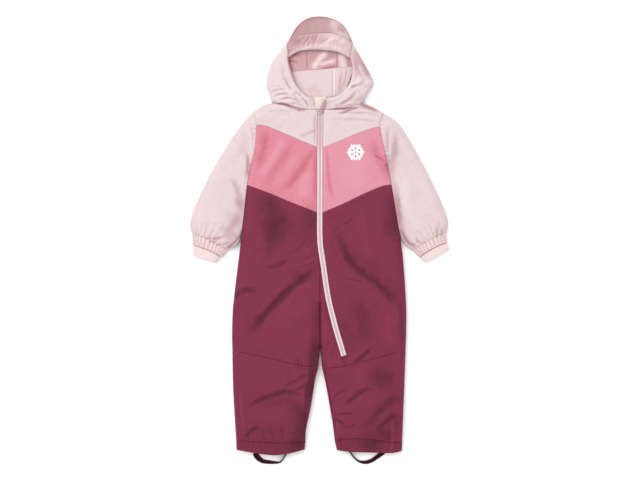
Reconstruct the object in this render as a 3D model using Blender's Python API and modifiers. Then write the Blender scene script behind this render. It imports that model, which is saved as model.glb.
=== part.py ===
"""Baby snowsuit with hood, laid on its back: every cut-and-sewn piece as its own padded solid.

Tables and sizes are in millimetres and the meshes in metres.  +X is the wearer's left, +Y runs towards
the hood and +Z is up.  The origin is on the surface the suit lies on, under the middle of its outline.
"""
from collections import namedtuple

import bmesh
import bpy
import numpy as np
from mathutils import Vector

OBJECT_NAME = "baby_snowsuit"
CUTTERS_NAME = "cutters"
MM = 0.001

# ---- driving dimensions ----
SEAM_GAP = 0.4
BACK_TOP = 9.0
BACK_ROUND = 3.0
FRONT_UNDER = 9.3
FRONT_TOP = 22.5
FRONT_EDGE_LEAST = 11.2
CURVE_STEPS = 12
MEETING_STEPS = 4
EDGE_CROWDING = 0.55
OUTLINE_SPACING = 15.0

ZIP_HALF_WIDTH = 5.6
ZIP_CHAIN_HALF_WIDTH = 1.6
ZIP_THICKNESS = 3.0
ZIP_CHAIN_RAISE = 0.8
ZIP_ROWS = 64
ZIP_END_GAP = 0.6
ZIP_STRIP_SHARE = 0.998
ZIP_TAPE_CLEARANCE = 0.5
ZIP_MEETS_CROTCH_Y = -47.0
THIGH_START_Y = -62.0
THIGH_EDGE_SHIFT = 0.15

SLEEVE_TOP = 20.5
SLEEVE_WALL = 8.5
SLOT_LOW = 8.4
SLOT_HIGH = 10.6
TUBE_ROLL = 22.0
TUBE_ROLL_SHARE = 0.35
TUBE_UNDER_ROUND = 7.0
TUBE_EDGE_TOP = 11.5
TUBE_EDGE_LOW = 6.0
CUFF_TOP = 19.0
CUFF_GATHERS = 13
CUFF_GATHER_HEIGHT = 1.5
CUFF_GATHER_START = 0.6
RIB_TOP = 15.0
RIB_WALL = 4.0
RIB_COUNT = 18
RIB_HEIGHT = 0.5
HEM_TOP = 18.0
HEM_GATHERS = 12
HEM_GATHER_HEIGHT = 0.7

HOOD_BACK_TOP = 6.0
HOOD_LINING_UNDER = 6.3
HOOD_LINING_TOP = 9.0
HOOD_ARCH = 9.0
HOOD_ARCH_REACH = 34.0
HOOD_SIDE_WALL = 10.0
HOOD_CROWN_WALL = 7.0
HOOD_EDGE_SHARE = 0.45
HOOD_EDGE_ROUND = 14.0
HOOD_WALL_LEAST = 3.0
RIM_DROP = 3.0
RIM_ROUND = 6.0
NECK_DROP = 2.5
NECK_ROUND = 7.0
CHIN_CENTRE_Y = 280.0
CHIN_FLAT = 20.0
CHIN_GUARD_TOP = 19.2
CHIN_GUARD_ROUND = 4.0
CHIN_GUARD_DROP = 4.0
CHIN_GUARD_END_Y = 294.0
CROWN_END_SHARE = 0.035
LINING_ROUND = 0.8

SLIDER_CENTRE = (0.9, 262.6)
SLIDER_BASE = (8.6, 9.4, 2.6)
SLIDER_CLEARANCE = 0.3
SLIDER_BRIDGE_WIDTH = 1.6
SLIDER_BRIDGE_SPAN = 5.0
SLIDER_BRIDGE_THICKNESS = 1.0
SLIDER_BRIDGE_INSIDE = 2.6
SLIDER_BEVEL = 0.6
BRIDGE_SINK = 0.5
PULL_LENGTH = 26.0
PULL_WIDTH = 6.8
PULL_TIP_WIDTH = 4.8
PULL_THICKNESS = 1.4
PULL_HOLE_WIDTH = 4.4
PULL_HOLE_LENGTH = 4.5
PULL_BAR = 1.4
PULL_TURN = -0.42
PULL_TIP_SEGMENTS = 8

STRAP_STRIDE = 4

# ---- points across and down each grid ----
PANEL_ACROSS = 17
YOKE_DOWN = 10
CHEST_DOWN = 14
BODY_DOWN = 32
THIGH_ACROSS = 7
THIGH_DOWN = 20
SHIN_DOWN = 18
SLEEVE_ACROSS = 16
SLEEVE_DOWN = 18
SLEEVE_INNER_DOWN = 5
UNDER_ACROSS = 8
CUFF_DOWN = 5
BAND_DOWN = 3
BAND_INNER_DOWN = 2
HOOD_SIDE_ACROSS = 9
HOOD_SIDE_DOWN = 28
HOOD_CROWN_ACROSS = 25
HOOD_BRIM_DOWN = 8
HOOD_CROWN_DOWN = 7
CROWN_EDGE_POINTS = 40
CHIN_GUARD_ACROSS = 9
CHIN_GUARD_DOWN = 8

# ---- outlines: rows of x, y ----
SHOULDER_RIGHT = ((-136.3, 262.4), (-119.0, 274.3), (-98.4, 280.8))
SHOULDER_LEFT = ((128.7, 261.2), (104.5, 274.3), (87.1, 280.8))
NECK_RIGHT = ((-98.4, 280.8), (-61.5, 274.3), (-41.0, 269.0), (-22.5, 267.2), (0.0, 267.0))
NECK_LEFT = ((87.1, 280.8), (57.4, 270.6), (36.9, 267.8), (18.4, 267.1), (0.0, 267.0))
ARMHOLE_RIGHT = ((-136.3, 262.4), (-130.9, 240.0), (-131.2, 215.2), (-134.5, 184.5), (-141.9, 153.8))
ARMHOLE_LEFT = ((128.7, 261.2), (122.7, 240.0), (125.0, 217.3), (131.8, 185.3), (137.8, 153.8))
SIDE_RIGHT = ((-141.9, 153.8), (-149.2, 112.3), (-156.4, 45.1), (-166.0, -32.8), (-177.5, -129.1),
              (-180.2, -180.0), (-179.8, -226.5), (-177.5, -317.8), (-171.8, -410.0))
SIDE_LEFT = ((137.8, 153.8), (146.2, 113.6), (157.0, 45.9), (169.3, -28.7), (176.5, -129.1),
             (176.9, -180.0), (175.5, -228.6), (172.2, -321.8), (168.5, -413.1))
CREST_RIGHT = ((-131.0, 235.3), (-116.8, 234.5), (-98.4, 228.4), (-45.1, 205.8), (0.0, 187.6))
CREST_LEFT = ((122.8, 232.1), (102.5, 227.1), (73.8, 216.5), (36.9, 201.5), (0.0, 187.6))
CHEVRON_RIGHT = ((-149.2, 112.3), (-102.5, 93.9), (-51.2, 73.0), (0.0, 53.7))
CHEVRON_LEFT = ((146.4, 112.6), (125.0, 108.6), (89.2, 95.1), (45.1, 74.6), (0.0, 53.7))
CROTCH = ((0.3, -46.0), (0.0, -90.0), (-0.1, -135.0), (-0.1, -180.0), (0.3, -220.8))
KNEE_RIGHT = ((-179.8, -226.5), (-133.2, -235.7), (-45.1, -255.4), (-3.3, -259.5))
KNEE_LEFT_INNER = ((4.5, -263.2), (28.7, -261.2), (54.3, -257.5))
KNEE_LEFT_OUTER = ((54.3, -257.5), (112.7, -242.7), (143.5, -234.1), (175.5, -228.6))
INNER_RIGHT = ((0.3, -220.8), (-2.1, -241.3), (-3.3, -259.5), (-8.2, -278.5), (-12.3, -302.0),
               (-17.2, -333.3), (-22.1, -358.5), (-28.4, -388.0), (-29.9, -412.0))
INNER_LEFT = ((0.3, -220.8), (2.3, -241.3), (4.5, -263.2), (10.7, -289.9), (16.6, -321.2),
              (21.5, -350.3), (26.4, -379.5), (29.9, -409.0))
HEM_SEAM_RIGHT = ((-171.8, -410.0), (-100.4, -414.9), (-63.5, -415.7), (-29.9, -412.0))
HEM_SEAM_LEFT = ((29.9, -409.0), (86.1, -406.7), (145.5, -414.1), (168.5, -413.1))
HEM_END_RIGHT = ((-171.0, -430.1), (-106.6, -439.9), (-73.8, -439.1), (-31.2, -429.3))
HEM_END_LEFT = ((34.4, -430.5), (65.6, -434.2), (112.7, -435.4), (147.6, -436.2), (167.9, -432.1))

SLEEVE_OUTER_RIGHT = ((-136.3, 262.4), (-159.5, 237.8), (-193.5, 188.6), (-229.0, 127.1), (-259.1, 61.5),
                      (-266.1, 30.0), (-262.4, 14.3))
SLEEVE_INNER_RIGHT = ((-143.1, 153.8), (-150.6, 112.3), (-157.8, 45.1), (-163.4, 7.0), (-172.2, -11.5),
                      (-190.0, -20.1))
SLEEVE_OUTER_LEFT = ((128.7, 261.2), (161.9, 237.8), (192.7, 188.6), (225.5, 127.1), (256.2, 59.4),
                     (262.4, 30.0), (258.1, 16.4))
SLEEVE_INNER_LEFT = ((139.0, 153.8), (147.6, 113.6), (158.5, 45.9), (163.0, 18.0), (165.6, 6.0),
                     (170.0, -3.4), (177.0, -13.0), (184.5, -18.6), (190.5, -20.1))
CUFF_SEAM_RIGHT = ((-262.4, 14.3), (-232.1, 3.7), (-190.0, -20.1))
CUFF_SEAM_LEFT = ((258.1, 16.4), (230.8, 4.9), (190.5, -20.1))
CUFF_END_RIGHT = ((-260.8, -9.4), (-228.0, -21.1), (-200.9, -34.8))
CUFF_END_LEFT = ((260.8, -4.1), (234.5, -15.2), (202.1, -34.8))
RIB_START_RIGHT = ((-259.4, -10.2), (-228.2, -21.5), (-205.5, -32.9))
RIB_START_LEFT = ((259.4, -5.2), (234.7, -15.8), (206.5, -32.7))
RIB_END_RIGHT = ((-261.0, -31.6), (-229.6, -42.4), (-212.3, -45.6))
RIB_END_LEFT = ((265.4, -18.2), (237.0, -34.0), (213.6, -45.9))

HOOD_EDGE_RIGHT = ((-67.6, 403.8), (-93.3, 371.0), (-103.5, 350.5), (-109.9, 321.8), (-105.4, 303.4),
                   (-98.4, 280.8))
HOOD_EDGE_LEFT = ((66.6, 403.8), (88.1, 366.9), (99.4, 346.4), (110.0, 322.3), (98.8, 303.4), (87.1, 280.8))
HOOD_DOME = ((-67.6, 403.8), (-47.1, 438.7), (-26.6, 454.3), (-2.0, 459.0), (22.5, 455.3), (44.1, 444.8),
             (58.4, 425.4), (66.6, 403.8))
HOOD_FOLD = ((-67.6, 403.8), (-53.3, 414.1), (-34.8, 420.2), (-4.1, 423.3), (24.6, 423.3), (43.1, 417.2),
             (55.4, 410.0), (66.6, 403.8))
RIM_RIGHT = ((-64.8, 373.5), (-63.1, 360.8), (-51.2, 324.9), (-41.8, 308.5), (-28.0, 295.0), (-12.6, 291.0))
RIM_LEFT = ((62.3, 371.5), (66.8, 352.0), (62.3, 325.9), (51.2, 308.5), (35.9, 295.4), (12.6, 291.0))
BRIM_EDGE = ((-64.8, 373.5), (-45.1, 385.4), (-26.6, 388.7), (-4.1, 389.3), (20.5, 387.0), (38.9, 383.3),
             (62.3, 371.5))
CHIN_RIGHT = ((-9.4, 267.1), (-12.6, 291.0))
CHIN_LEFT = ((9.4, 267.1), (12.6, 291.0))
LINING_TOP = ((-62.0, 380.0), (-48.0, 410.0), (-24.0, 428.0), (0.0, 432.0), (24.0, 428.0), (48.0, 410.0),
              (62.0, 380.0))
LINING_SEAM_Y = 349.0
LINING_HALF_WIDTH = 72.0
NECK_PANEL_FOOT_Y = 285.5
NECK_PANEL_HALF_FOOT = 44.0

ZIP_LINE = ((0.9, 267.3), (0.4, 225.0), (-0.1, 187.0), (-0.3, 120.0), (-0.5, 50.0), (-0.6, 18.0),
            (0.8, -11.3), (4.7, -38.0), (8.3, -62.5), (13.2, -97.0), (17.9, -124.0), (25.5, -155.0),
            (33.5, -185.5), (41.5, -212.0), (49.0, -237.8))

# Foot straps: x, y, width across, height
STRAP_RIGHT = ((-130.6, -438.4, 11.5, 3.0), (-130.0, -442.0, 11.5, 3.0), (-126.2, -447.6, 10.8, 3.0),
               (-119.6, -452.6, 9.0, 3.0), (-110.0, -454.3, 8.4, 3.0), (-98.0, -454.8, 7.2, 3.2),
               (-87.5, -455.0, 4.6, 4.5), (-80.4, -453.6, 3.0, 6.5), (-75.6, -448.2, 2.6, 8.5),
               (-69.6, -440.2, 2.6, 10.0))
STRAP_LEFT = ((126.9, -436.9, 12.5, 3.0), (126.3, -441.4, 11.8, 3.0), (121.6, -447.0, 10.0, 3.0),
              (112.0, -452.2, 8.4, 3.0), (101.5, -454.4, 8.2, 3.0), (91.5, -454.6, 7.2, 3.2),
              (82.8, -452.8, 4.8, 4.5), (76.6, -448.9, 3.0, 6.5), (71.2, -442.8, 2.6, 8.5),
              (65.4, -435.9, 2.6, 10.0))

# ---- edges and seams that press the padding down: line, width of the slope, drop at the line ----
Slope = namedtuple("Slope", "line width drop")

# Folds across a panel: start, middle and end points, depth and half width
Fold = namedtuple("Fold", "start middle end depth width")
FOLDS = (
    Fold((-4, -53), (-72, -103), (-143, -189), 4.2, 11.0),
    Fold((-170, -115), (-146, -101), (-125, -100), 1.8, 7.0),
    Fold((-92, -53), (-80, -48), (-68, -45), 1.5, 6.0),
    Fold((-102, 72), (-103, 20), (-102, -31), 1.8, 15.0),
    Fold((16, -20), (70, -45), (143, -104), 4.0, 11.0),
    Fold((59, 20), (60, -10), (59, -43), 1.8, 9.0),
    Fold((49, 34), (58, 38), (68, 41), 1.2, 5.0),
    Fold((84, -107), (86, -150), (84, -195), 2.2, 12.0),
    Fold((70, -254), (88, -238), (102, -219), 1.6, 6.0),
    Fold((-152, -344), (-100, -316), (-29, -318), 2.4, 8.0),
    Fold((-53, -295), (-36, -285), (-18, -275), 1.5, 6.0),
    Fold((-150, -398), (-139, -390), (-127, -381), 1.5, 6.0),
    Fold((59, -340), (85, -322), (115, -307), 2.4, 8.0),
    Fold((24, -328), (36, -318), (48, -307), 1.5, 6.0),
    Fold((35, -357), (47, -355), (60, -353), 1.5, 5.0),
    Fold((43, -381), (55, -378), (68, -375), 1.5, 5.0),
    Fold((82, -383), (124, -352), (166, -318), 2.4, 8.0),
    Fold((115, -390), (133, -379), (152, -367), 1.5, 6.0),
    Fold((-31, 184), (-68, 150), (-107, 113), 1.4, 10.0),
    Fold((-72, 199), (-98, 172), (-127, 143), 1.4, 9.0),
    Fold((40, 178), (66, 150), (92, 118), 1.2, 10.0),
    Fold((-152, 206), (-170, 130), (-166, 60), 3.2, 10.0),
    Fold((-166, 60), (-180, 30), (-196, 4), 2.4, 9.0),
    Fold((-143, 205), (-146, 188), (-148, 168), 3.0, 6.0),
    Fold((-200, 130), (-210, 70), (-214, 30), 1.4, 12.0),
    Fold((-236, 22), (-216, 14), (-196, 12), 1.6, 5.0),
    Fold((150, 206), (168, 130), (168, 66), 3.2, 10.0),
    Fold((168, 66), (180, 34), (196, 8), 2.4, 9.0),
    Fold((134, 205), (142, 188), (146, 168), 3.0, 6.0),
    Fold((198, 130), (208, 74), (214, 34), 1.4, 12.0),
)
HOOD_FOLDS = (
    Fold((-107, 307), (-84, 304), (-62, 303), 1.6, 5.0),
    Fold((-101, 293), (-80, 290), (-58, 289), 1.6, 5.0),
    Fold((74, 369), (66, 340), (53, 312), 1.6, 7.0),
    Fold((88, 300), (70, 289), (50, 279), 1.8, 5.0),
    Fold((60, 306), (45, 294), (30, 284), 1.6, 5.0),
    Fold((-50, 400), (-4, 407), (52, 398), 1.6, 4.0),
    Fold((-67, 404), (-5, 423), (66, 404), 1.8, 6.0),
)

# ---- colours: linear red, green, blue ----
Finish = namedtuple("Finish", "name colour roughness metallic")
LIGHT_PINK = Finish("light_pink_shell", (0.82, 0.66, 0.67), 0.62, 0.0)
MID_PINK = Finish("mid_pink_shell", (0.73, 0.24, 0.33), 0.62, 0.0)
BURGUNDY = Finish("burgundy_shell", (0.235, 0.038, 0.075), 0.60, 0.0)
LINING_PINK = Finish("dusty_pink_lining", (0.62, 0.34, 0.37), 0.75, 0.0)
SOFT_LINING = Finish("pale_fleece_lining", (0.80, 0.62, 0.63), 0.90, 0.0)
RIB_KNIT = Finish("rib_knit", (0.88, 0.70, 0.67), 0.85, 0.0)
ZIP_CLOTH = Finish("zip_tape", (0.83, 0.69, 0.73), 0.70, 0.0)
ZIP_TEETH = Finish("zip_chain", (0.66, 0.42, 0.50), 0.45, 0.0)
ZIP_METAL = Finish("zip_slider_mauve", (0.50, 0.25, 0.33), 0.40, 0.1)
GUARD_CREAM = Finish("chin_guard_cream", (0.88, 0.76, 0.72), 0.80, 0.0)
STRAP_DARK = Finish("foot_strap_elastic", (0.040, 0.005, 0.013), 0.65, 0.0)


# ---- lines ----
def smooth(rows):
    """A dense smooth line through rows of points, whatever the number of columns."""
    points = np.asarray(rows, float)
    points = np.vstack([2 * points[0] - points[1], points, 2 * points[-1] - points[-2]])
    share = np.linspace(0.0, 1.0, CURVE_STEPS, endpoint=False)[:, None]
    runs = []
    for before, start, end, after in zip(points[:-3], points[1:-2], points[2:-1], points[3:]):
        linear = end - before
        square = 2 * before - 5 * start + 4 * end - after
        cube = 3 * start - before - 3 * end + after
        runs.append(0.5 * (2 * start + linear * share + square * share**2 + cube * share**3))
    return np.vstack(runs + [points[-2:-1]])


def lengths(line):
    """Length along a line at each of its points."""
    return np.concatenate([[0.0], np.cumsum(np.hypot(*np.diff(line[:, :2], axis=0).T))])


def at(line, shares):
    """Points of a line at shares of its length."""
    run = lengths(line)
    return np.column_stack([np.interp(shares * run[-1], run, column) for column in line.T])


def between(line, axis, first, last):
    """The stretch of a line between two values of x (axis 0) or y (axis 1), in that order."""
    ordered = line if line[0, axis] < line[-1, axis] else line[::-1]
    low, high = min(first, last), max(first, last)
    inside = ordered[(ordered[:, axis] > low + 0.01) & (ordered[:, axis] < high - 0.01)]
    other = 1 - axis
    ends = np.zeros((2, 2))
    ends[:, axis] = (low, high)
    ends[:, other] = np.interp((low, high), ordered[:, axis], ordered[:, other])
    stretch = np.vstack([ends[:1], inside, ends[1:]])
    return stretch if first < last else stretch[::-1]


def join(*lines):
    """One line from several that follow each other end to end."""
    return np.vstack([lines[0]] + [line[1:] for line in lines[1:]])


def beside(line, offset):
    """The line moved sideways by an offset, to the right of its own direction."""
    along = np.gradient(line[:, :2], axis=0)
    along /= np.hypot(*along.T)[:, None]
    return line[:, :2] + offset * np.column_stack([along[:, 1], -along[:, 0]])


def distance(places, line):
    """Least distance from each place to a line."""
    start, step = line[:-1], np.diff(line, axis=0)
    span = np.maximum((step**2).sum(1), 1e-9)
    offset = places[:, None] - start[None]
    share = np.clip((offset * step).sum(2) / span, 0.0, 1.0)
    return np.sqrt(((offset - share[..., None] * step) ** 2).sum(2).min(1))


def roll(ratio):
    """A quarter round from 0 at the edge to 1 where the ratio reaches 1."""
    return np.sqrt(1.0 - (1.0 - np.clip(ratio, 0.0, 1.0)) ** 2)


# ---- heights ----
def slope_rows():
    """Edges and seams of the front: the line, the width of its slope and the drop at the line."""
    side_right, side_left = smooth(SIDE_RIGHT), smooth(SIDE_LEFT)
    crotch = smooth(CROTCH)
    rolled = [Slope(side_right, 20.0, 11.3), Slope(side_left, 20.0, 11.3),
              Slope(smooth(INNER_RIGHT), 16.0, 10.0), Slope(smooth(INNER_LEFT), 16.0, 10.0),
              Slope(smooth(SHOULDER_RIGHT), 16.0, 9.0), Slope(smooth(SHOULDER_LEFT), 16.0, 9.0),
              Slope(between(crotch, 1, CROTCH[0][1], -150.0), 10.0, 3.0),
              Slope(between(crotch, 1, -130.0, CROTCH[-1][1]), 13.0, 8.5)]
    seams = [Slope(smooth(table), 6.0, 1.8) for table in (
        ARMHOLE_RIGHT, ARMHOLE_LEFT, CREST_RIGHT, CREST_LEFT, CHEVRON_RIGHT, CHEVRON_LEFT, KNEE_RIGHT,
        KNEE_LEFT_INNER, KNEE_LEFT_OUTER, HEM_SEAM_RIGHT, HEM_SEAM_LEFT)]
    necks = [Slope(smooth(table), 10.0, 4.5) for table in (NECK_RIGHT, NECK_LEFT)]
    return rolled + seams + necks + [Slope(ZIP, 14.0, 3.0)]


def fold_depth(places, folds):
    """How far the folds press the cloth down at each place."""
    depth = np.zeros(len(places))
    for fold in folds:
        gap = distance(places, smooth((fold.start, fold.middle, fold.end)))
        depth += fold.depth * np.exp(-((gap / fold.width) ** 2))
    return depth


def slope_drop(places, slopes):
    """How far edges and seams press the padding down, the largest of them leading."""
    cubes = sum((row.drop * (1.0 - roll(distance(places, row.line) / row.width))) ** 3 for row in slopes)
    return np.cbrt(cubes)


def front_height(grid):
    """Height of the front's outer face over places of any grid shape."""
    places = grid.reshape(-1, 2)
    height = FRONT_TOP - slope_drop(places, FRONT_SLOPES) - fold_depth(places, FOLDS)
    return np.maximum(height, FRONT_EDGE_LEAST).reshape(grid.shape[:-1])


def hood_under(grid):
    """Underside of the hood's sides and crown, arched up from its outline, neck seam and chin."""
    places = grid.reshape(-1, 2)
    arch = roll(distance(places, HOOD_OUTLINE) / HOOD_ARCH_REACH)
    arch *= roll(distance(places, NECK_LINE) / HOOD_ARCH_REACH)
    chin = np.hypot(places[:, 0], places[:, 1] - CHIN_CENTRE_Y)
    arch *= roll((chin - CHIN_FLAT) / HOOD_ARCH_REACH)
    return (FRONT_UNDER + HOOD_ARCH * arch).reshape(grid.shape[:-1])


def hood_height(grid, wall):
    """Outer face of the hood: its wall over the underside, rounded at outline, rim and neck."""
    places = grid.reshape(-1, 2)
    edge = roll(distance(places, HOOD_OUTLINE) / HOOD_EDGE_ROUND)
    share = HOOD_EDGE_SHARE + (1.0 - HOOD_EDGE_SHARE) * edge
    rim = RIM_DROP * (1.0 - roll(distance(places, HOOD_RIM) / RIM_ROUND))
    neck = NECK_DROP * (1.0 - roll(distance(places, NECK_LINE) / NECK_ROUND))
    height = wall * share - rim - neck - fold_depth(places, HOOD_FOLDS)
    return hood_under(grid) + np.maximum(height, HOOD_WALL_LEAST).reshape(grid.shape[:-1])


# ---- shapes ----
def make(name, points, faces, finish):
    """A named object from points in millimetres and faces, facing outward, with its own material."""
    mesh = bpy.data.meshes.new(name)
    mesh.from_pydata((np.asarray(points) * MM).tolist(), [], faces)
    shape = bmesh.new()
    shape.from_mesh(mesh)
    bmesh.ops.recalc_face_normals(shape, faces=shape.faces)
    shape.to_mesh(mesh)
    shape.free()
    return place(bpy.data.objects.new(name, mesh), finish)


def place(thing, finish):
    """Shade an object smooth, give it its material and put it in the suit's collection."""
    material = bpy.data.materials.new(f"{thing.name}_{finish.name}")
    material.use_nodes = True
    shader = material.node_tree.nodes["Principled BSDF"]
    shader.inputs["Base Color"].default_value = (*finish.colour, 1.0)
    shader.inputs["Roughness"].default_value = finish.roughness
    shader.inputs["Metallic"].default_value = finish.metallic
    material.diffuse_color = (*finish.colour, 1.0)
    thing.data.materials.append(material)
    if thing.type == "MESH":
        thing.data.shade_smooth()
    bpy.data.collections[OBJECT_NAME].objects.link(thing)
    return thing


def patch(top, bottom, left, right, across, down, knots=()):
    """Rows of places between four edges, held half a seam gap inside them.

    Top and bottom run the same way, from the left edge to the right one, and the other two from the top
    edge to the bottom one.  Knots are shares of the way down that get a row of their own.
    """
    width = (lengths(top)[-1] + lengths(bottom)[-1]) / 2
    height = (lengths(left)[-1] + lengths(right)[-1]) / 2
    spread = np.linspace(0.0, 1.0, across)
    shares = spread - EDGE_CROWDING * np.sin(2 * np.pi * spread) / (2 * np.pi)
    hold_u, hold_v = SEAM_GAP / 2 / width, SEAM_GAP / 2 / height
    u = hold_u + (1 - 2 * hold_u) * shares
    v = hold_v + (1 - 2 * hold_v) * np.union1d(np.linspace(0.0, 1.0, down), knots)
    rows_u, rows_v = u[None, :, None], v[:, None, None]
    between_ends = (1 - rows_v) * at(top, u)[None] + rows_v * at(bottom, u)[None]
    between_sides = (1 - rows_u) * at(left, v)[:, None] + rows_u * at(right, v)[:, None]
    upper = (1 - rows_u) * (top[0] + left[0]) / 2 + rows_u * (top[-1] + right[0]) / 2
    lower = (1 - rows_u) * (bottom[0] + left[-1]) / 2 + rows_u * (bottom[-1] + right[-1]) / 2
    return between_ends + between_sides - (1 - rows_v) * upper - rows_v * lower


def grid_faces(rows, columns):
    """Faces of a grid whose points are numbered row by row."""
    index = np.arange(rows * columns).reshape(rows, columns)
    corners = (index[:-1, :-1], index[1:, :-1], index[1:, 1:], index[:-1, 1:])
    return np.stack([corner.ravel() for corner in corners], axis=1).tolist()


def border(rows, columns):
    """Point numbers round a grid's edge."""
    index = np.arange(rows * columns).reshape(rows, columns)
    return np.concatenate([index[0, :-1], index[:-1, -1], index[-1, :0:-1], index[:0:-1, 0]])


def raised(grid, heights):
    """Grid places with their heights, as one list of points."""
    full = np.broadcast_to(heights, grid.shape[:-1])
    return np.concatenate([grid, full[..., None]], axis=-1).reshape(-1, 3)


def slab(name, grid, top, under, finish):
    """A wall with a shaped outer face over one flat underside."""
    rows, columns = grid.shape[:2]
    rim = border(rows, columns)
    outer = raised(grid, top)
    foot = outer[rim].copy()
    foot[:, 2] = under
    count, total = len(rim), len(outer)
    faces = grid_faces(rows, columns)
    for here in range(count):
        there = (here + 1) % count
        faces.append([int(rim[here]), int(rim[there]), total + there, total + here])
    faces.append(list(range(total, total + count)))
    return make(name, np.vstack([outer, foot]), faces, finish)


def shell(name, grid, top, under, finish):
    """A wall with a shaped outer face and a shaped underside."""
    rows, columns = grid.shape[:2]
    rim = border(rows, columns)
    total = rows * columns
    faces = grid_faces(rows, columns)
    faces += [[total + corner for corner in face] for face in faces]
    for here, there in zip(rim, np.roll(rim, -1)):
        faces.append([int(here), int(there), total + int(there), total + int(here)])
    return make(name, np.vstack([raised(grid, top), raised(grid, under)]), faces, finish)


def stack(name, rings, finish):
    """A solid through rings of equal count, closed by a flat face at each end."""
    count, sides = len(rings), len(rings[0])
    faces = []
    for level in range(count - 1):
        for here in range(sides):
            there = (here + 1) % sides
            low, high = level * sides, (level + 1) * sides
            faces.append([low + here, low + there, high + there, high + here])
    faces.append(list(range(sides)))
    faces.append(list(range((count - 1) * sides, count * sides)))
    return make(name, np.vstack(rings), faces, finish)


def hollow(name, outer, inner, finish):
    """An open tube: outer rings, the end walls and inner rings, all of equal count."""
    rings = list(outer) + list(inner)[::-1]
    count, sides = len(rings), len(rings[0])
    faces = []
    for level in range(count):
        low, high = level * sides, ((level + 1) % count) * sides
        for here in range(sides):
            there = (here + 1) % sides
            faces.append([low + here, low + there, high + there, high + here])
    return make(name, np.vstack(rings), faces, finish)


def pulled_in(row, wall):
    """A row of places drawn in from both its ends by the wall."""
    run = lengths(row)
    share = wall / run[-1]
    return at(row, share + (1 - 2 * share) * run / run[-1])


Tube = namedtuple("Tube", "name edges top wall across under_across down inner_down finish")


def tube(row, waves=0, wave_height=0.0, wave_start=1.0):
    """A laid sleeve, cuff or hem: rounded sides, flat underneath, with a flat slot through it."""
    upper = patch(*row.edges, row.across, row.down)
    lower = patch(*row.edges, row.under_across, row.down)
    reach = min(TUBE_ROLL, TUBE_ROLL_SHARE * lengths(row.edges[0])[-1])
    left_gap = distance(upper.reshape(-1, 2), row.edges[2])
    right_gap = distance(upper.reshape(-1, 2), row.edges[3])
    edge = roll(np.minimum(left_gap, right_gap) / reach).reshape(upper.shape[:2])
    top = TUBE_EDGE_TOP + (row.top - TUBE_EDGE_TOP) * edge
    top -= fold_depth(upper.reshape(-1, 2), FOLDS).reshape(top.shape) * edge
    if waves:
        spread = np.linspace(0.0, 1.0, row.across)[None, :]
        growth = np.linspace(wave_start, 1.0, row.down)[:, None]
        top += wave_height * growth * np.cos(2 * np.pi * waves * spread) * edge
    under_gap = np.minimum(distance(lower.reshape(-1, 2), row.edges[2]),
                           distance(lower.reshape(-1, 2), row.edges[3])).reshape(lower.shape[:2])
    under = TUBE_EDGE_LOW * (1.0 - roll(under_gap / TUBE_UNDER_ROUND))
    outer, inner = [], []
    for level in range(row.down):
        over = np.column_stack([upper[level], top[level]])
        below = np.column_stack([lower[level], under[level]])[::-1]
        outer.append(np.vstack([over, below]))
    for level in np.linspace(0, row.down - 1, row.inner_down).round().astype(int):
        over = np.column_stack([pulled_in(upper[level], row.wall), np.full(row.across, SLOT_HIGH)])
        below = np.column_stack([pulled_in(lower[level], row.wall), np.full(row.under_across, SLOT_LOW)])
        inner.append(np.vstack([over, below[::-1]]))
    return hollow(row.name, outer, inner, row.finish)


def inset(outline, amount):
    """A closed outline moved inward by an amount, square to its two edges at each point."""
    before = outline - np.roll(outline, 1, axis=0)
    after = np.roll(outline, -1, axis=0) - outline
    turns = np.sum(outline[:, 0] * np.roll(outline[:, 1], -1) - np.roll(outline[:, 0], -1) * outline[:, 1])
    side = np.sign(turns)
    normals = [side * np.column_stack([-edge[:, 1], edge[:, 0]]) / np.hypot(*edge.T)[:, None]
               for edge in (before, after)]
    middle = normals[0] + normals[1]
    return outline + amount * middle / (middle * normals[0]).sum(1)[:, None]


def spaced(*lines):
    """Outline from lines that follow each other, each cut into even steps that keep its ends."""
    runs = []
    for line in lines:
        steps = max(1, round(lengths(line)[-1] / OUTLINE_SPACING))
        runs.append(at(line, np.linspace(0.0, 1.0, steps + 1)[:-1]))
    return np.vstack(runs)


def lying(name, outline, under, top, finish, rounded=BACK_ROUND):
    """A flat padded panel with its lower edge rounded off."""
    foot, full = inset(outline, SEAM_GAP / 2 + rounded), inset(outline, SEAM_GAP / 2)
    levels = ((foot, under), (full, under + rounded), (full, top))
    rings = [np.column_stack([places, np.full(len(places), height)]) for places, height in levels]
    return stack(name, rings, finish)


def ribbon(name, centre, widths, tops, unders, finish):
    """A strip of four-sided sections along a centre line."""
    along = np.gradient(centre, axis=0)
    along /= np.hypot(*along.T)[:, None]
    across = np.column_stack([along[:, 1], -along[:, 0]]) * np.asarray(widths)[:, None] / 2
    first, second = centre + across, centre - across
    rings = [np.array([[*a, low], [*b, low], [*b, high], [*a, high]])
             for a, b, low, high in zip(first, second, unders, tops)]
    return stack(name, rings, finish)


# ---- the suit's own lines ----
ZIP = smooth(ZIP_LINE)
ZIP_RIGHT = beside(ZIP, ZIP_HALF_WIDTH)
ZIP_LEFT = beside(ZIP, -ZIP_HALF_WIDTH)
HOOD_OUTLINE = join(smooth(HOOD_EDGE_RIGHT)[::-1], smooth(HOOD_DOME), smooth(HOOD_EDGE_LEFT))
HOOD_RIM = join(smooth(RIM_RIGHT)[::-1], smooth(BRIM_EDGE), smooth(RIM_LEFT))
NECK_LINE = join(smooth(NECK_RIGHT), smooth(NECK_LEFT)[::-1])
FRONT_SLOPES = slope_rows()


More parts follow.
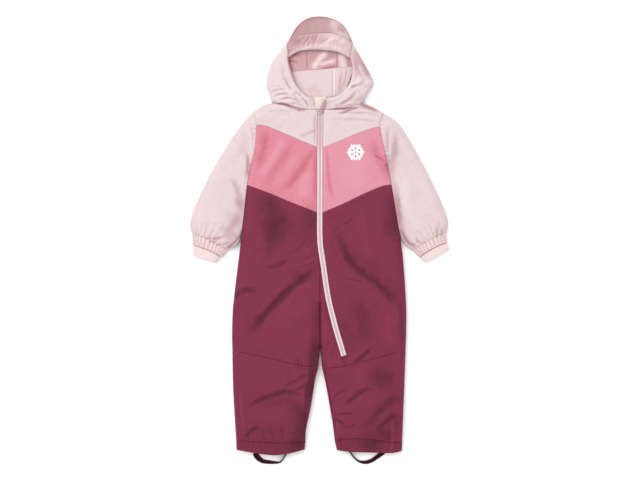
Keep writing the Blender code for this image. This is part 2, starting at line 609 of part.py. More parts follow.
# ---- front ----
def seam_to_zip(table, edge):
    """A seam from its outer end to where it meets an edge of the zip, found by stepping between the two."""
    line = smooth(table)
    ordered = line[np.argsort(line[:, 0])]
    x = edge[0, 0]
    for _ in range(MEETING_STEPS):
        y = np.interp(x, ordered[:, 0], ordered[:, 1])
        x = np.interp(-y, -edge[:, 1], edge[:, 0])
    return between(line, 0, table[0][0], x)


def front_piece(name, edges, across, down, finish, knots=()):
    """One front panel over its four edges."""
    grid = patch(*edges, across, down, knots)
    return slab(name, grid, front_height(grid), FRONT_UNDER, finish)


def yokes():
    """Light pink panels between neck, armholes and the upper chevron."""
    neck_right = seam_to_zip(NECK_RIGHT, ZIP_RIGHT)
    crest_right = seam_to_zip(CREST_RIGHT, ZIP_RIGHT)
    front_piece("yoke_right", (
        join(smooth(SHOULDER_RIGHT), neck_right), crest_right,
        between(smooth(ARMHOLE_RIGHT), 1, SHOULDER_RIGHT[0][1], CREST_RIGHT[0][1]),
        between(ZIP_RIGHT, 1, neck_right[-1, 1], crest_right[-1, 1])),
        PANEL_ACROSS, YOKE_DOWN, LIGHT_PINK)
    neck_left = seam_to_zip(NECK_LEFT, ZIP_LEFT)[::-1]
    crest_left = seam_to_zip(CREST_LEFT, ZIP_LEFT)[::-1]
    front_piece("yoke_left", (
        join(neck_left, smooth(SHOULDER_LEFT)[::-1]), crest_left,
        between(ZIP_LEFT, 1, neck_left[0, 1], crest_left[0, 1]),
        between(smooth(ARMHOLE_LEFT), 1, SHOULDER_LEFT[0][1], CREST_LEFT[0][1])),
        PANEL_ACROSS, YOKE_DOWN, LIGHT_PINK)


def chests():
    """Mid pink chevron panels."""
    crest_right = seam_to_zip(CREST_RIGHT, ZIP_RIGHT)
    chevron_right = seam_to_zip(CHEVRON_RIGHT, ZIP_RIGHT)
    armhole_right = join(smooth(ARMHOLE_RIGHT), smooth(SIDE_RIGHT))
    front_piece("chest_right", (
        crest_right, chevron_right,
        between(armhole_right, 1, CREST_RIGHT[0][1], CHEVRON_RIGHT[0][1]),
        between(ZIP_RIGHT, 1, crest_right[-1, 1], chevron_right[-1, 1])),
        PANEL_ACROSS, CHEST_DOWN, MID_PINK)
    crest_left = seam_to_zip(CREST_LEFT, ZIP_LEFT)[::-1]
    chevron_left = seam_to_zip(CHEVRON_LEFT, ZIP_LEFT)[::-1]
    armhole_left = join(smooth(ARMHOLE_LEFT), smooth(SIDE_LEFT))
    front_piece("chest_left", (
        crest_left, chevron_left,
        between(ZIP_LEFT, 1, crest_left[0, 1], chevron_left[0, 1]),
        between(armhole_left, 1, CREST_LEFT[0][1], CHEVRON_LEFT[0][1])),
        PANEL_ACROSS, CHEST_DOWN, MID_PINK)


def leg_inside(start_y, inner, knee):
    """The edge down the crotch seam, and from where the legs part down one leg to its knee seam."""
    seam = between(smooth(CROTCH), 1, start_y, CROTCH[-1][1])
    return join(seam, between(smooth(inner), 1, inner[0][1], knee[1]))


def bodies():
    """Burgundy panels from the lower chevron to the knees, with the strip inside the slanting zip."""
    chevron_right = seam_to_zip(CHEVRON_RIGHT, ZIP_RIGHT)
    chevron_left = seam_to_zip(CHEVRON_LEFT, ZIP_LEFT)[::-1]
    front_piece("body_right", (
        chevron_right, smooth(KNEE_RIGHT),
        between(smooth(SIDE_RIGHT), 1, CHEVRON_RIGHT[0][1], KNEE_RIGHT[0][1]),
        join(between(ZIP_RIGHT, 1, chevron_right[-1, 1], ZIP_MEETS_CROTCH_Y),
             leg_inside(ZIP_MEETS_CROTCH_Y, INNER_RIGHT, KNEE_RIGHT[-1]))),
        PANEL_ACROSS, BODY_DOWN, BURGUNDY)
    zip_end = ZIP[-1] + ZIP_END_GAP * (ZIP[-1] - ZIP[-2]) / np.hypot(*(ZIP[-1] - ZIP[-2]))
    seam_foot = np.array(KNEE_LEFT_OUTER[0], float)
    outer_edge = join(between(ZIP_LEFT, 1, chevron_left[0, 1], ZIP_LEFT[-1, 1]),
                      np.array([ZIP_LEFT[-1], zip_end, seam_foot]))
    front_piece("body_left", (
        chevron_left, smooth(KNEE_LEFT_OUTER), outer_edge,
        between(smooth(SIDE_LEFT), 1, CHEVRON_LEFT[0][1], KNEE_LEFT_OUTER[-1][1])),
        PANEL_ACROSS, BODY_DOWN, BURGUNDY, corner_shares(outer_edge))
    inner_edge = join(between(ZIP_RIGHT, 1, THIGH_START_Y, ZIP_RIGHT[-1, 1]),
                      np.array([ZIP_RIGHT[-1], zip_end, seam_foot]))
    crotch_edge = leg_inside(THIGH_START_Y, INNER_LEFT, KNEE_LEFT_INNER[0]) + (THIGH_EDGE_SHIFT, 0.0)
    front_piece("inner_thigh_left", (
        np.array([crotch_edge[0], inner_edge[0]]), smooth(KNEE_LEFT_INNER), crotch_edge, inner_edge),
        THIGH_ACROSS, THIGH_DOWN, BURGUNDY, corner_shares(inner_edge))


def corner_shares(line):
    """Shares of a line's length at the two corners before its last point."""
    run = lengths(line)
    return tuple(run[-3:-1] / run[-1])


def shins():
    """Burgundy panels from the knees to the hems."""
    front_piece("shin_right", (
        smooth(KNEE_RIGHT), smooth(HEM_SEAM_RIGHT),
        between(smooth(SIDE_RIGHT), 1, KNEE_RIGHT[0][1], HEM_SEAM_RIGHT[0][1]),
        between(smooth(INNER_RIGHT), 1, KNEE_RIGHT[-1][1], HEM_SEAM_RIGHT[-1][1])),
        PANEL_ACROSS, SHIN_DOWN, BURGUNDY)
    front_piece("shin_left", (
        join(smooth(KNEE_LEFT_INNER), smooth(KNEE_LEFT_OUTER)), smooth(HEM_SEAM_LEFT),
        between(smooth(INNER_LEFT), 1, KNEE_LEFT_INNER[0][1], HEM_SEAM_LEFT[0][1]),
        between(smooth(SIDE_LEFT), 1, KNEE_LEFT_OUTER[-1][1], HEM_SEAM_LEFT[-1][1])),
        PANEL_ACROSS, SHIN_DOWN, BURGUNDY)


# ---- tubes ----
def straight(first, last):
    """A line of two points."""
    return np.array([first, last], float)


def sleeves():
    """Puffed sleeve tubes, gathered cuffs and knitted inner cuffs."""
    sides = (
        ("right", ARMHOLE_RIGHT, SLEEVE_OUTER_RIGHT, SLEEVE_INNER_RIGHT, CUFF_SEAM_RIGHT, CUFF_END_RIGHT,
         RIB_START_RIGHT, RIB_END_RIGHT),
        ("left", ARMHOLE_LEFT, SLEEVE_OUTER_LEFT, SLEEVE_INNER_LEFT, CUFF_SEAM_LEFT, CUFF_END_LEFT,
         RIB_START_LEFT, RIB_END_LEFT),
    )
    for side, armhole, outer, inner, cuff_seam, cuff_end, rib_start, rib_end in sides:
        tube(Tube(f"sleeve_{side}", (smooth(armhole), smooth(cuff_seam), smooth(outer), smooth(inner)),
                  SLEEVE_TOP, SLEEVE_WALL, SLEEVE_ACROSS, UNDER_ACROSS, SLEEVE_DOWN, SLEEVE_INNER_DOWN,
                  LIGHT_PINK))
        tube(Tube(f"cuff_{side}", (smooth(cuff_seam), smooth(cuff_end), straight(cuff_seam[0], cuff_end[0]),
                                   straight(cuff_seam[-1], cuff_end[-1])),
                  CUFF_TOP, SLEEVE_WALL, 4 * CUFF_GATHERS + 1, UNDER_ACROSS, CUFF_DOWN, BAND_INNER_DOWN,
                  LIGHT_PINK),
             CUFF_GATHERS, CUFF_GATHER_HEIGHT, CUFF_GATHER_START)
        tube(Tube(f"rib_cuff_{side}", (smooth(rib_start), smooth(rib_end), straight(rib_start[0], rib_end[0]),
                                       straight(rib_start[-1], rib_end[-1])),
                  RIB_TOP, RIB_WALL, 2 * RIB_COUNT + 1, UNDER_ACROSS, BAND_DOWN, BAND_INNER_DOWN, RIB_KNIT),
             RIB_COUNT, RIB_HEIGHT)


def hems():
    """Elasticated hem bands of the legs."""
    sides = (("right", HEM_SEAM_RIGHT, HEM_END_RIGHT), ("left", HEM_SEAM_LEFT, HEM_END_LEFT))
    for side, seam, end in sides:
        tube(Tube(f"hem_{side}", (smooth(seam), smooth(end), straight(seam[0], end[0]),
                                  straight(seam[-1], end[-1])),
                  HEM_TOP, SLEEVE_WALL, 3 * HEM_GATHERS + 1, UNDER_ACROSS, BAND_DOWN, BAND_INNER_DOWN,
                  BURGUNDY),
             HEM_GATHERS, HEM_GATHER_HEIGHT)


# ---- back ----
def backs():
    """Plain panels that the suit lies on."""
    armhole_right = join(smooth(ARMHOLE_RIGHT), smooth(SIDE_RIGHT))
    armhole_left = join(smooth(ARMHOLE_LEFT), smooth(SIDE_LEFT))
    right_seam, left_seam = CREST_RIGHT[0], CREST_LEFT[0]
    right_waist, left_waist = CHEVRON_RIGHT[0], CHEVRON_LEFT[0]
    lying("back_yoke", spaced(
        smooth(SHOULDER_RIGHT), NECK_LINE, smooth(SHOULDER_LEFT)[::-1],
        between(armhole_left, 1, SHOULDER_LEFT[0][1], left_seam[1]), straight(left_seam, right_seam),
        between(armhole_right, 1, right_seam[1], SHOULDER_RIGHT[0][1])), 0.0, BACK_TOP, LIGHT_PINK)
    lying("back_chest", spaced(
        straight(right_seam, left_seam), between(armhole_left, 1, left_seam[1], left_waist[1]),
        straight(left_waist, right_waist),
        between(armhole_right, 1, right_waist[1], right_seam[1])), 0.0, BACK_TOP, MID_PINK)
    middle = (0.0, (right_waist[1] + left_waist[1]) / 2)
    centre = straight(middle, CROTCH[-1])
    lying("back_right", spaced(
        straight(right_waist, middle), centre, smooth(INNER_RIGHT), smooth(HEM_SEAM_RIGHT)[::-1],
        between(armhole_right, 1, HEM_SEAM_RIGHT[0][1], right_waist[1])), 0.0, BACK_TOP, BURGUNDY)
    lying("back_left", spaced(
        straight(middle, left_waist), between(armhole_left, 1, left_waist[1], HEM_SEAM_LEFT[-1][1]),
        smooth(HEM_SEAM_LEFT)[::-1], smooth(INNER_LEFT)[::-1], centre[::-1]), 0.0, BACK_TOP, BURGUNDY)


# ---- hood ----
def hood_shell(name, edges, wall, across, down, finish):
    """One shaped panel of the hood over its four edges."""
    grid = patch(*edges, across, down)
    return shell(name, grid, hood_height(grid, wall), hood_under(grid), finish)


def hood():
    """Sides, brim and crown over the lining, neck panel and back."""
    edge_right, edge_left = smooth(HOOD_EDGE_RIGHT), smooth(HOOD_EDGE_LEFT)
    neck_right = between(smooth(NECK_RIGHT), 0, NECK_RIGHT[0][0], CHIN_RIGHT[0][0])
    neck_left = between(smooth(NECK_LEFT), 0, NECK_LEFT[0][0], CHIN_LEFT[0][0])
    temple_right = straight(HOOD_EDGE_RIGHT[0], RIM_RIGHT[0])
    temple_left = straight(HOOD_EDGE_LEFT[0], RIM_LEFT[0])
    hood_shell("hood_side_right", (temple_right, straight(*CHIN_RIGHT), join(edge_right, neck_right),
                                   smooth(RIM_RIGHT)), HOOD_SIDE_WALL, HOOD_SIDE_ACROSS, HOOD_SIDE_DOWN,
               LIGHT_PINK)
    hood_shell("hood_side_left", (temple_left, straight(*CHIN_LEFT), join(edge_left, neck_left),
                                  smooth(RIM_LEFT)), HOOD_SIDE_WALL, HOOD_SIDE_ACROSS, HOOD_SIDE_DOWN,
               LIGHT_PINK)
    hood_shell("hood_brim", (smooth(HOOD_FOLD), smooth(BRIM_EDGE), temple_right, temple_left),
               HOOD_CROWN_WALL, HOOD_CROWN_ACROSS, HOOD_BRIM_DOWN, LIGHT_PINK)
    dome, fold = smooth(HOOD_DOME), smooth(HOOD_FOLD)
    ends = (CROWN_END_SHARE, 1.0 - CROWN_END_SHARE)
    shares = np.linspace(*ends, CROWN_EDGE_POINTS)
    dome, fold = at(dome, shares), at(fold, shares)
    hood_shell("hood_crown", (dome, fold, straight(dome[0], fold[0]), straight(dome[-1], fold[-1])),
               HOOD_CROWN_WALL, HOOD_CROWN_ACROSS, HOOD_CROWN_DOWN, LINING_PINK)
    lying("hood_back", spaced(join(edge_right[::-1], smooth(HOOD_DOME), edge_left), NECK_LINE[::-1]),
          0.0, HOOD_BACK_TOP, LIGHT_PINK)
    seam_ends = ((-LINING_HALF_WIDTH, LINING_SEAM_Y), (LINING_HALF_WIDTH, LINING_SEAM_Y))
    lining_top = smooth(LINING_TOP)
    lying("hood_lining", spaced(
        lining_top, straight(lining_top[-1], seam_ends[1]), straight(seam_ends[1], seam_ends[0]),
        straight(seam_ends[0], lining_top[0])), HOOD_LINING_UNDER, HOOD_LINING_TOP, LINING_PINK, LINING_ROUND)
    foot = ((NECK_PANEL_HALF_FOOT, NECK_PANEL_FOOT_Y), (-NECK_PANEL_HALF_FOOT, NECK_PANEL_FOOT_Y))
    lying("neck_panel", spaced(
        straight(*seam_ends), straight(seam_ends[1], foot[0]), straight(*foot),
        straight(foot[1], seam_ends[0])), HOOD_LINING_UNDER, HOOD_LINING_TOP, SOFT_LINING, LINING_ROUND)


def chin_guard():
    """Soft tab over the top of the zip, between the hood's ends."""
    rise = (CHIN_GUARD_END_Y - CHIN_RIGHT[1][1]) / (CHIN_RIGHT[1][1] - CHIN_RIGHT[0][1])
    half_top = CHIN_LEFT[1][0] + rise * (CHIN_LEFT[1][0] - CHIN_LEFT[0][0])
    top = straight((-half_top, CHIN_GUARD_END_Y), (half_top, CHIN_GUARD_END_Y))
    bottom = straight((CHIN_RIGHT[0][0], ZIP[0, 1] + SEAM_GAP), (CHIN_LEFT[0][0], ZIP[0, 1] + SEAM_GAP))
    grid = patch(top, bottom, straight(top[0], bottom[0]), straight(top[1], bottom[1]),
                 CHIN_GUARD_ACROSS, CHIN_GUARD_DOWN)
    edge = 1.0 - roll(distance(grid.reshape(-1, 2), top) / CHIN_GUARD_ROUND).reshape(grid.shape[:2])
    slab("chin_guard", grid, CHIN_GUARD_TOP - CHIN_GUARD_DROP * edge, FRONT_UNDER, GUARD_CREAM)


# ---- zip ----
def zip_strip(name, offset, width, raise_top, finish):
    """A strip along the zip at a sideways offset from its middle."""
    centre = at(ZIP, np.linspace(0.0, ZIP_STRIP_SHARE, ZIP_ROWS))
    tops = front_height(centre) + raise_top
    strip = beside(centre, offset)
    return ribbon(name, strip, np.full(ZIP_ROWS, width), tops, tops - ZIP_THICKNESS, finish)


def zip_fastener():
    """Tapes, chain, slider and the pull on its hinge."""
    outer, inner = ZIP_HALF_WIDTH - ZIP_TAPE_CLEARANCE, ZIP_CHAIN_HALF_WIDTH + SEAM_GAP / 2
    tape_width = outer - inner
    middle = (outer + inner) / 2
    zip_strip("zip_tape_right", middle, tape_width, 0.0, ZIP_CLOTH)
    zip_strip("zip_tape_left", -middle, tape_width, 0.0, ZIP_CLOTH)
    zip_strip("zip_chain", 0.0, 2 * ZIP_CHAIN_HALF_WIDTH - SEAM_GAP, ZIP_CHAIN_RAISE, ZIP_TEETH)
    base_under = zip_height_under_slider() + ZIP_CHAIN_RAISE + SLIDER_CLEARANCE
    slider(base_under)
    zip_pull(base_under + SLIDER_BASE[2] + SLIDER_BRIDGE_INSIDE / 2)


def zip_height_under_slider():
    """Highest point of the tapes below the slider."""
    reach = SLIDER_BASE[1] / 2
    beneath = between(ZIP, 1, SLIDER_CENTRE[1] + reach, SLIDER_CENTRE[1] - reach)
    return front_height(beneath).max()


def block(name, size, centre):
    """A box by its size and centre, in millimetres."""
    bpy.ops.mesh.primitive_cube_add(size=1.0, location=Vector(centre) * MM)
    box = bpy.context.object
    box.name = name
    box.scale = Vector(size) * MM
    bpy.ops.object.transform_apply(location=False, rotation=False, scale=True)
    bpy.context.collection.objects.unlink(box)
    return box


def cutter(name, size, centre):
    """A box that shapes another object and isn't part of the suit."""
    box = block(name, size, centre)
    box.hide_render = True
    box.display_type = "WIRE"
    bpy.data.collections[CUTTERS_NAME].objects.link(box)
    return box


def slider(base_under):
    """Slider body with the bridge that holds the pull."""
    x, y = SLIDER_CENTRE
    base_top = base_under + SLIDER_BASE[2]
    body = block("zip_slider", SLIDER_BASE, (x, y, base_under + SLIDER_BASE[2] / 2))
    round_body = body.modifiers.new("rounded", "BEVEL")
    round_body.width = SLIDER_BEVEL * MM
    round_body.segments = 2
    height = SLIDER_BRIDGE_INSIDE + SLIDER_BRIDGE_THICKNESS + BRIDGE_SINK
    bridge = cutter("slider_bridge_block", (SLIDER_BRIDGE_WIDTH, SLIDER_BRIDGE_SPAN, height),
                    (x, y, base_top - BRIDGE_SINK + height / 2))
    window = cutter("slider_bridge_window",
                    (2 * SLIDER_BRIDGE_WIDTH, SLIDER_BRIDGE_SPAN - 2 * SLIDER_BRIDGE_THICKNESS,
                     SLIDER_BRIDGE_INSIDE), (x, y, base_top + SLIDER_BRIDGE_INSIDE / 2))
    for shape, operation in ((bridge, "UNION"), (window, "DIFFERENCE")):
        change = body.modifiers.new(shape.name, "BOOLEAN")
        change.object = shape
        change.operation = operation
        change.solver = "EXACT"
    place(body, ZIP_METAL)


def zip_pull(axis_z):
    """Flat pull with an eye round the slider's bridge; its origin lies on its bar."""
    outline = bpy.data.curves.new("zip_pull", "CURVE")
    outline.dimensions = "2D"
    outline.fill_mode = "BOTH"
    outline.extrude = PULL_THICKNESS / 2 * MM
    tip = PULL_TIP_WIDTH / 2
    turns = np.linspace(0.0, np.pi, PULL_TIP_SEGMENTS + 1)
    arc = [(tip * np.cos(turn), PULL_LENGTH - tip + tip * np.sin(turn)) for turn in turns]
    heel = PULL_BAR / 2
    plate = [(-PULL_WIDTH / 2, -heel), (PULL_WIDTH / 2, -heel)] + arc
    half_hole = PULL_HOLE_WIDTH / 2
    eye = [(-half_hole, heel), (half_hole, heel), (half_hole, heel + PULL_HOLE_LENGTH),
           (-half_hole, heel + PULL_HOLE_LENGTH)]
    for corners in (plate, eye):
        spline = outline.splines.new("POLY")
        spline.points.add(len(corners) - 1)
        for point, (x, y) in zip(spline.points, corners):
            point.co = (x * MM, y * MM, 0.0, 1.0)
        spline.use_cyclic_u = True
    pull = bpy.data.objects.new("zip_pull", outline)
    pull.location = Vector((*SLIDER_CENTRE, axis_z)) * MM
    pull.rotation_euler.z = PULL_TURN
    place(pull, ZIP_METAL)


# ---- foot straps ----
def foot_straps():
    """Elastic loops under the feet, from flat to edge-on."""
    for side, table in (("right", STRAP_RIGHT), ("left", STRAP_LEFT)):
        rows = smooth(table)[::STRAP_STRIDE]
        ribbon(f"foot_strap_{side}", rows[:, :2], rows[:, 2], rows[:, 3], np.zeros(len(rows)), STRAP_DARK)


def main():
    """Clear the scene and build the suit."""
    for thing in list(bpy.data.objects):
        bpy.data.objects.remove(thing, do_unlink=True)
    for name in (OBJECT_NAME, CUTTERS_NAME):
        collection = bpy.data.collections.new(name)
        bpy.context.scene.collection.children.link(collection)
    backs()
    yokes()
    chests()
    bodies()
    shins()
    hems()
    sleeves()
    hood()
    chin_guard()
    zip_fastener()
    foot_straps()


main()
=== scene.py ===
"""Looks of a padded baby snowsuit that lies on its back: cloth panels, tubes, hood, zip and stitching.

Plan tables are in millimetres in the frame's own axes: +X is the wearer's left, +Y runs to the hood and
+Z is up.  Every mesh is made in metres with its place in its points, so each object sits at the origin.
"""
import logging
from dataclasses import dataclass, field
from enum import Enum
from typing import Callable, Iterable, Optional, Sequence, Union

import bmesh
import bpy
import numpy as np
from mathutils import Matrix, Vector


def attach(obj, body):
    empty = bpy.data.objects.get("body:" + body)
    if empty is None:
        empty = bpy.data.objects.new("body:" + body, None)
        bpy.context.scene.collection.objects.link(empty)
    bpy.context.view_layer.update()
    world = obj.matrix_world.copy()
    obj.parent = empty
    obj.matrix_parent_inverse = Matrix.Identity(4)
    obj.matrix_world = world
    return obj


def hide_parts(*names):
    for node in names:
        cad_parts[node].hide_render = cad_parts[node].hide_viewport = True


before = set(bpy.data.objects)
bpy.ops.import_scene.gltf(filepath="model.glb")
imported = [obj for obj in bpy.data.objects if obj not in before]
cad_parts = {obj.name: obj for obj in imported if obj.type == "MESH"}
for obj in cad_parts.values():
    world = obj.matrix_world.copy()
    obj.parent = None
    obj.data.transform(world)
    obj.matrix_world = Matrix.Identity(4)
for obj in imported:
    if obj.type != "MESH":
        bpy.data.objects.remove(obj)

log = logging.getLogger("snowsuit")

MM = 0.001
TURN = 2.0 * np.pi
BODY = "suit"
RIGHT_LEFT = ("right", "left")
Rows = Sequence[Sequence[float]]
Colour = tuple[float, float, float]
Array = np.ndarray
Thing = bpy.types.Object
Socket = bpy.types.NodeSocket
Material = bpy.types.Material
Tint = Union[tuple, Socket]


# ------------------------------------------------------------------ plan lines
CURVE_STEPS = 8
# A stretch of a line keeps no point closer than this to its ends
END_ROOM = 0.01
# Segments count as at least this long, squared
LEAST_SQUARE = 1e-9


def smooth(rows: Rows) -> Array:
    """Catmull-Rom line through rows of points: each span is a cubic set by its four nearest rows.

    Args:
        rows: points with any number of columns.
    Returns:
        Dense points along the line.
    """
    points = np.asarray(rows, float)
    points = np.vstack([2 * points[0] - points[1], points, 2 * points[-1] - points[-2]])
    share = np.linspace(0.0, 1.0, CURVE_STEPS, endpoint=False)[None, :, None]
    before, start, end, after = (points[i:len(points) - 3 + i, None] for i in range(4))
    runs = 0.5 * (2 * start + (end - before) * share
                  + (2 * before - 5 * start + 4 * end - after) * share**2
                  + (3 * start - before - 3 * end + after) * share**3)
    return np.vstack([runs.reshape(-1, points.shape[1]), points[-2:-1]])


def lengths(line: Array) -> Array:
    """Running length of a line at each of its points."""
    return np.concatenate([[0.0], np.cumsum(np.hypot(*np.diff(line[:, :2], axis=0).T))])


def at(line: Array, shares: Array) -> Array:
    """Points of a line at shares of its length, found by linear interpolation."""
    run = lengths(line)
    return np.column_stack([np.interp(shares * run[-1], run, column) for column in line.T])


def between(line: Array, axis: int, first: float, last: float) -> Array:
    """The stretch of a line between two values of one coordinate.

    Args:
        line: points that rise or fall steadily along the axis.
        axis: 0 for x, 1 for y.
        first: value at the stretch's start.
        last: value at its end.
    Returns:
        The stretch, with both its ends interpolated.
    """
    ordered = line if line[0, axis] < line[-1, axis] else line[::-1]
    low, high = min(first, last), max(first, last)
    inside = ordered[(ordered[:, axis] > low + END_ROOM) & (ordered[:, axis] < high - END_ROOM)]
    ends = np.zeros((2, 2))
    ends[:, axis] = (low, high)
    ends[:, 1 - axis] = np.interp((low, high), ordered[:, axis], ordered[:, 1 - axis])
    stretch = np.vstack([ends[:1], inside, ends[1:]])
    return stretch if first < last else stretch[::-1]


def join(*lines: Array) -> Array:
    """One line from several that follow each other end to end."""
    return np.vstack([lines[0]] + [line[1:] for line in lines[1:]])


def straight(first: Sequence[float], last: Sequence[float]) -> Array:
    """A line of two points."""
    return np.array([first, last], float)


def band(top: Array, bottom: Array) -> tuple[Array, Array, Array, Array]:
    """Top, bottom, left and right edges of a band whose sides are straight."""
    return top, bottom, straight(top[0], bottom[0]), straight(top[-1], bottom[-1])


def heading(line: Array) -> Array:
    """Unit direction of a line at each point."""
    along = np.gradient(line[:, :2], axis=0)
    return along / np.hypot(*along.T)[:, None]


def beside(line: Array, offset: float) -> Array:
    """The line moved sideways by an offset, to the right of its own direction."""
    along = heading(line)
    return line[:, :2] + offset * np.column_stack([along[:, 1], -along[:, 0]])


def roll(ratio: Array) -> Array:
    """A quarter round: 0 at the edge, 1 from where the ratio reaches 1."""
    return np.sqrt(1.0 - (1.0 - np.clip(ratio, 0.0, 1.0)) ** 2)


def fall(gap: Array, width: float) -> Array:
    """A quarter round down: 1 at the edge, 0 from where the gap reaches the width."""
    return 1.0 - roll(gap / width)


def ease(ratio: Array) -> Array:
    """A soft step: 0 below 0, 1 above 1 and 3r^2 - 2r^3 between."""
    share = np.clip(ratio, 0.0, 1.0)
    return share * share * (3.0 - 2.0 * share)


def nearest(places: Array, line: Array, reach: float) -> tuple[Array, Array]:
    """Distance to a line and the running length of its nearest point.

    Each place is dropped square onto every segment, and the shortest drop is kept.  Places outside the
    line's box grown by the reach aren't measured and get that reach as their distance.

    Args:
        places: points in plan.
        line: points of the line.
        reach: distance past which nothing is measured.
    Returns:
        Distances and running lengths.
    """
    gap = np.full(len(places), reach, float)
    run = np.zeros(len(places))
    low, high = line.min(0) - reach, line.max(0) + reach
    near = np.flatnonzero(((places > low) & (places < high)).all(1))
    if len(near):
        start, step = line[:-1], np.diff(line, axis=0)
        span = np.maximum((step**2).sum(1), LEAST_SQUARE)
        dx = places[near, 0][:, None] - start[None, :, 0]
        dy = places[near, 1][:, None] - start[None, :, 1]
        share = np.clip((dx * step[:, 0] + dy * step[:, 1]) / span, 0.0, 1.0)
        square = (dx - share * step[:, 0]) ** 2 + (dy - share * step[:, 1]) ** 2
        best = square.argmin(1)
        row = np.arange(len(near))
        gap[near] = np.minimum(np.sqrt(square[row, best]), reach)
        run[near] = lengths(line)[best] + share[row, best] * np.sqrt(span[best])
    return gap, run


class Ripple:
    """Repeatable smooth noise on a lattice of random values, blended with soft steps between them."""

    CELLS = 256
    # Crumpling: shift, pitch and size of the bending noise, and softening of the root
    BEND_SHIFT, BEND_PITCH, BEND_SIZE = 70.0, 1.9, 0.45
    ROOT_SOFT, ROOT_LESS = 0.004, 0.06

    def __init__(self, seed: int) -> None:
        """Fill the lattice from a fixed seed."""
        self.values = np.random.RandomState(seed).uniform(-1.0, 1.0, (self.CELLS, self.CELLS))

    def at(self, places: Array, pitch: float, turn: float = 0.0, stretch: float = 1.0) -> Array:
        """Noise at places.

        Args:
            places: points in plan.
            pitch: lattice spacing in millimetres.
            turn: angle of the lattice.
            stretch: how much longer the lumps are along the turned x axis.
        Returns:
            Values from -1 to 1.
        """
        x = (places[:, 0] * np.cos(turn) + places[:, 1] * np.sin(turn)) / (pitch * stretch)
        y = (places[:, 1] * np.cos(turn) - places[:, 0] * np.sin(turn)) / pitch
        column, row = np.floor(x).astype(int), np.floor(y).astype(int)
        u, v = ease(x - column), ease(y - row)
        c0, c1 = column % self.CELLS, (column + 1) % self.CELLS
        r0, r1 = row % self.CELLS, (row + 1) % self.CELLS
        lower = self.values[r0, c0] * (1 - u) + self.values[r0, c1] * u
        upper = self.values[r1, c0] * (1 - u) + self.values[r1, c1] * u
        return lower * (1 - v) + upper * v

    def creased(self, places: Array, pitch: float, turn: float = 0.0, stretch: float = 1.0) -> Array:
        """Crumpled height from 0 in sharp valleys to 1: the rooted square of noise bent by coarser noise."""
        shifts = (self.BEND_SHIFT, -self.BEND_SHIFT)
        bends = [self.at(places + shift, self.BEND_PITCH * pitch) for shift in shifts]
        bend = self.BEND_SIZE * pitch * np.column_stack(bends)
        return np.sqrt(self.at(places + bend, pitch, turn, stretch) ** 2 + self.ROOT_SOFT) - self.ROOT_LESS


NOISE = Ripple(seed=7)


# ------------------------------------------------------------------ plan tables
def pair(right: Rows, left: Rows) -> dict[str, Array]:
    """Smooth lines of the wearer's two sides."""
    return dict(zip(RIGHT_LEFT, (smooth(right), smooth(left))))


# Outlines and seams, every part's right side before its left one
SHOULDER = pair(((-136.3, 262.4), (-119, 274.3), (-98.4, 280.8)),
                ((128.7, 261.2), (104.5, 274.3), (87.1, 280.8)))
NECK = pair(((-98.4, 280.8), (-61.5, 274.3), (-41, 269), (-22.5, 267.2), (0, 267)),
            ((87.1, 280.8), (57.4, 270.6), (36.9, 267.8), (18.4, 267.1), (0, 267)))
ARMHOLE = pair(((-136.3, 262.4), (-130.9, 240), (-131.2, 215.2), (-134.5, 184.5), (-141.9, 153.8)),
               ((128.7, 261.2), (122.7, 240), (125, 217.3), (131.8, 185.3), (137.8, 153.8)))
SIDE = pair(((-141.9, 153.8), (-149.2, 112.3), (-156.4, 45.1), (-166, -32.8), (-177.5, -129.1),
             (-180.2, -180), (-179.8, -226.5), (-177.5, -317.8), (-171.8, -410)),
            ((137.8, 153.8), (146.2, 113.6), (157, 45.9), (169.3, -28.7), (176.5, -129.1), (176.9, -180),
             (175.5, -228.6), (172.2, -321.8), (168.5, -413.1)))
CREST = pair(((-131, 235.3), (-116.8, 234.5), (-98.4, 228.4), (-45.1, 205.8), (0, 187.6)),
             ((122.8, 232.1), (102.5, 227.1), (73.8, 216.5), (36.9, 201.5), (0, 187.6)))
CHEVRON = pair(((-149.2, 112.8), (-102.5, 95.1), (-51.2, 73.8), (0, 54.3)),
               ((146.4, 113.8), (125, 109.2), (89.2, 94.2), (45.1, 72.9), (0, 54.3)))
CROTCH = smooth(((0.3, -46), (0, -90), (-0.1, -135), (-0.1, -180), (0.3, -220.8)))
KNEE_RIGHT = ((-179.8, -226.5), (-133.2, -235.7), (-45.1, -255.4), (-3.3, -259.5))
KNEE_LEFT_INNER = ((4.5, -263.2), (28.7, -261.2), (54.3, -257.5))
KNEE_LEFT_OUTER = ((54.3, -257.5), (112.7, -242.7), (143.5, -234.1), (175.5, -228.6))
INNER = pair(((0.3, -220.8), (-2.1, -241.3), (-3.3, -259.5), (-8.2, -278.5), (-12.3, -302), (-17.2, -333.3),
              (-22.1, -358.5), (-28.4, -388), (-29.9, -412)),
             ((0.3, -220.8), (2.3, -241.3), (4.5, -263.2), (10.7, -289.9), (16.6, -321.2), (21.5, -350.3),
              (26.4, -379.5), (29.9, -409)))
HEM_SEAM = pair(((-171.8, -410), (-100.4, -414.9), (-63.5, -415.7), (-29.9, -412)),
                ((29.9, -409), (86.1, -406.7), (145.5, -414.1), (168.5, -413.1)))
HEM_END = pair(((-171, -430.1), (-106.6, -439.9), (-73.8, -439.1), (-31.2, -429.3)),
               ((34.4, -430.5), (65.6, -434.2), (112.7, -435.4), (147.6, -436.2), (167.9, -432.1)))

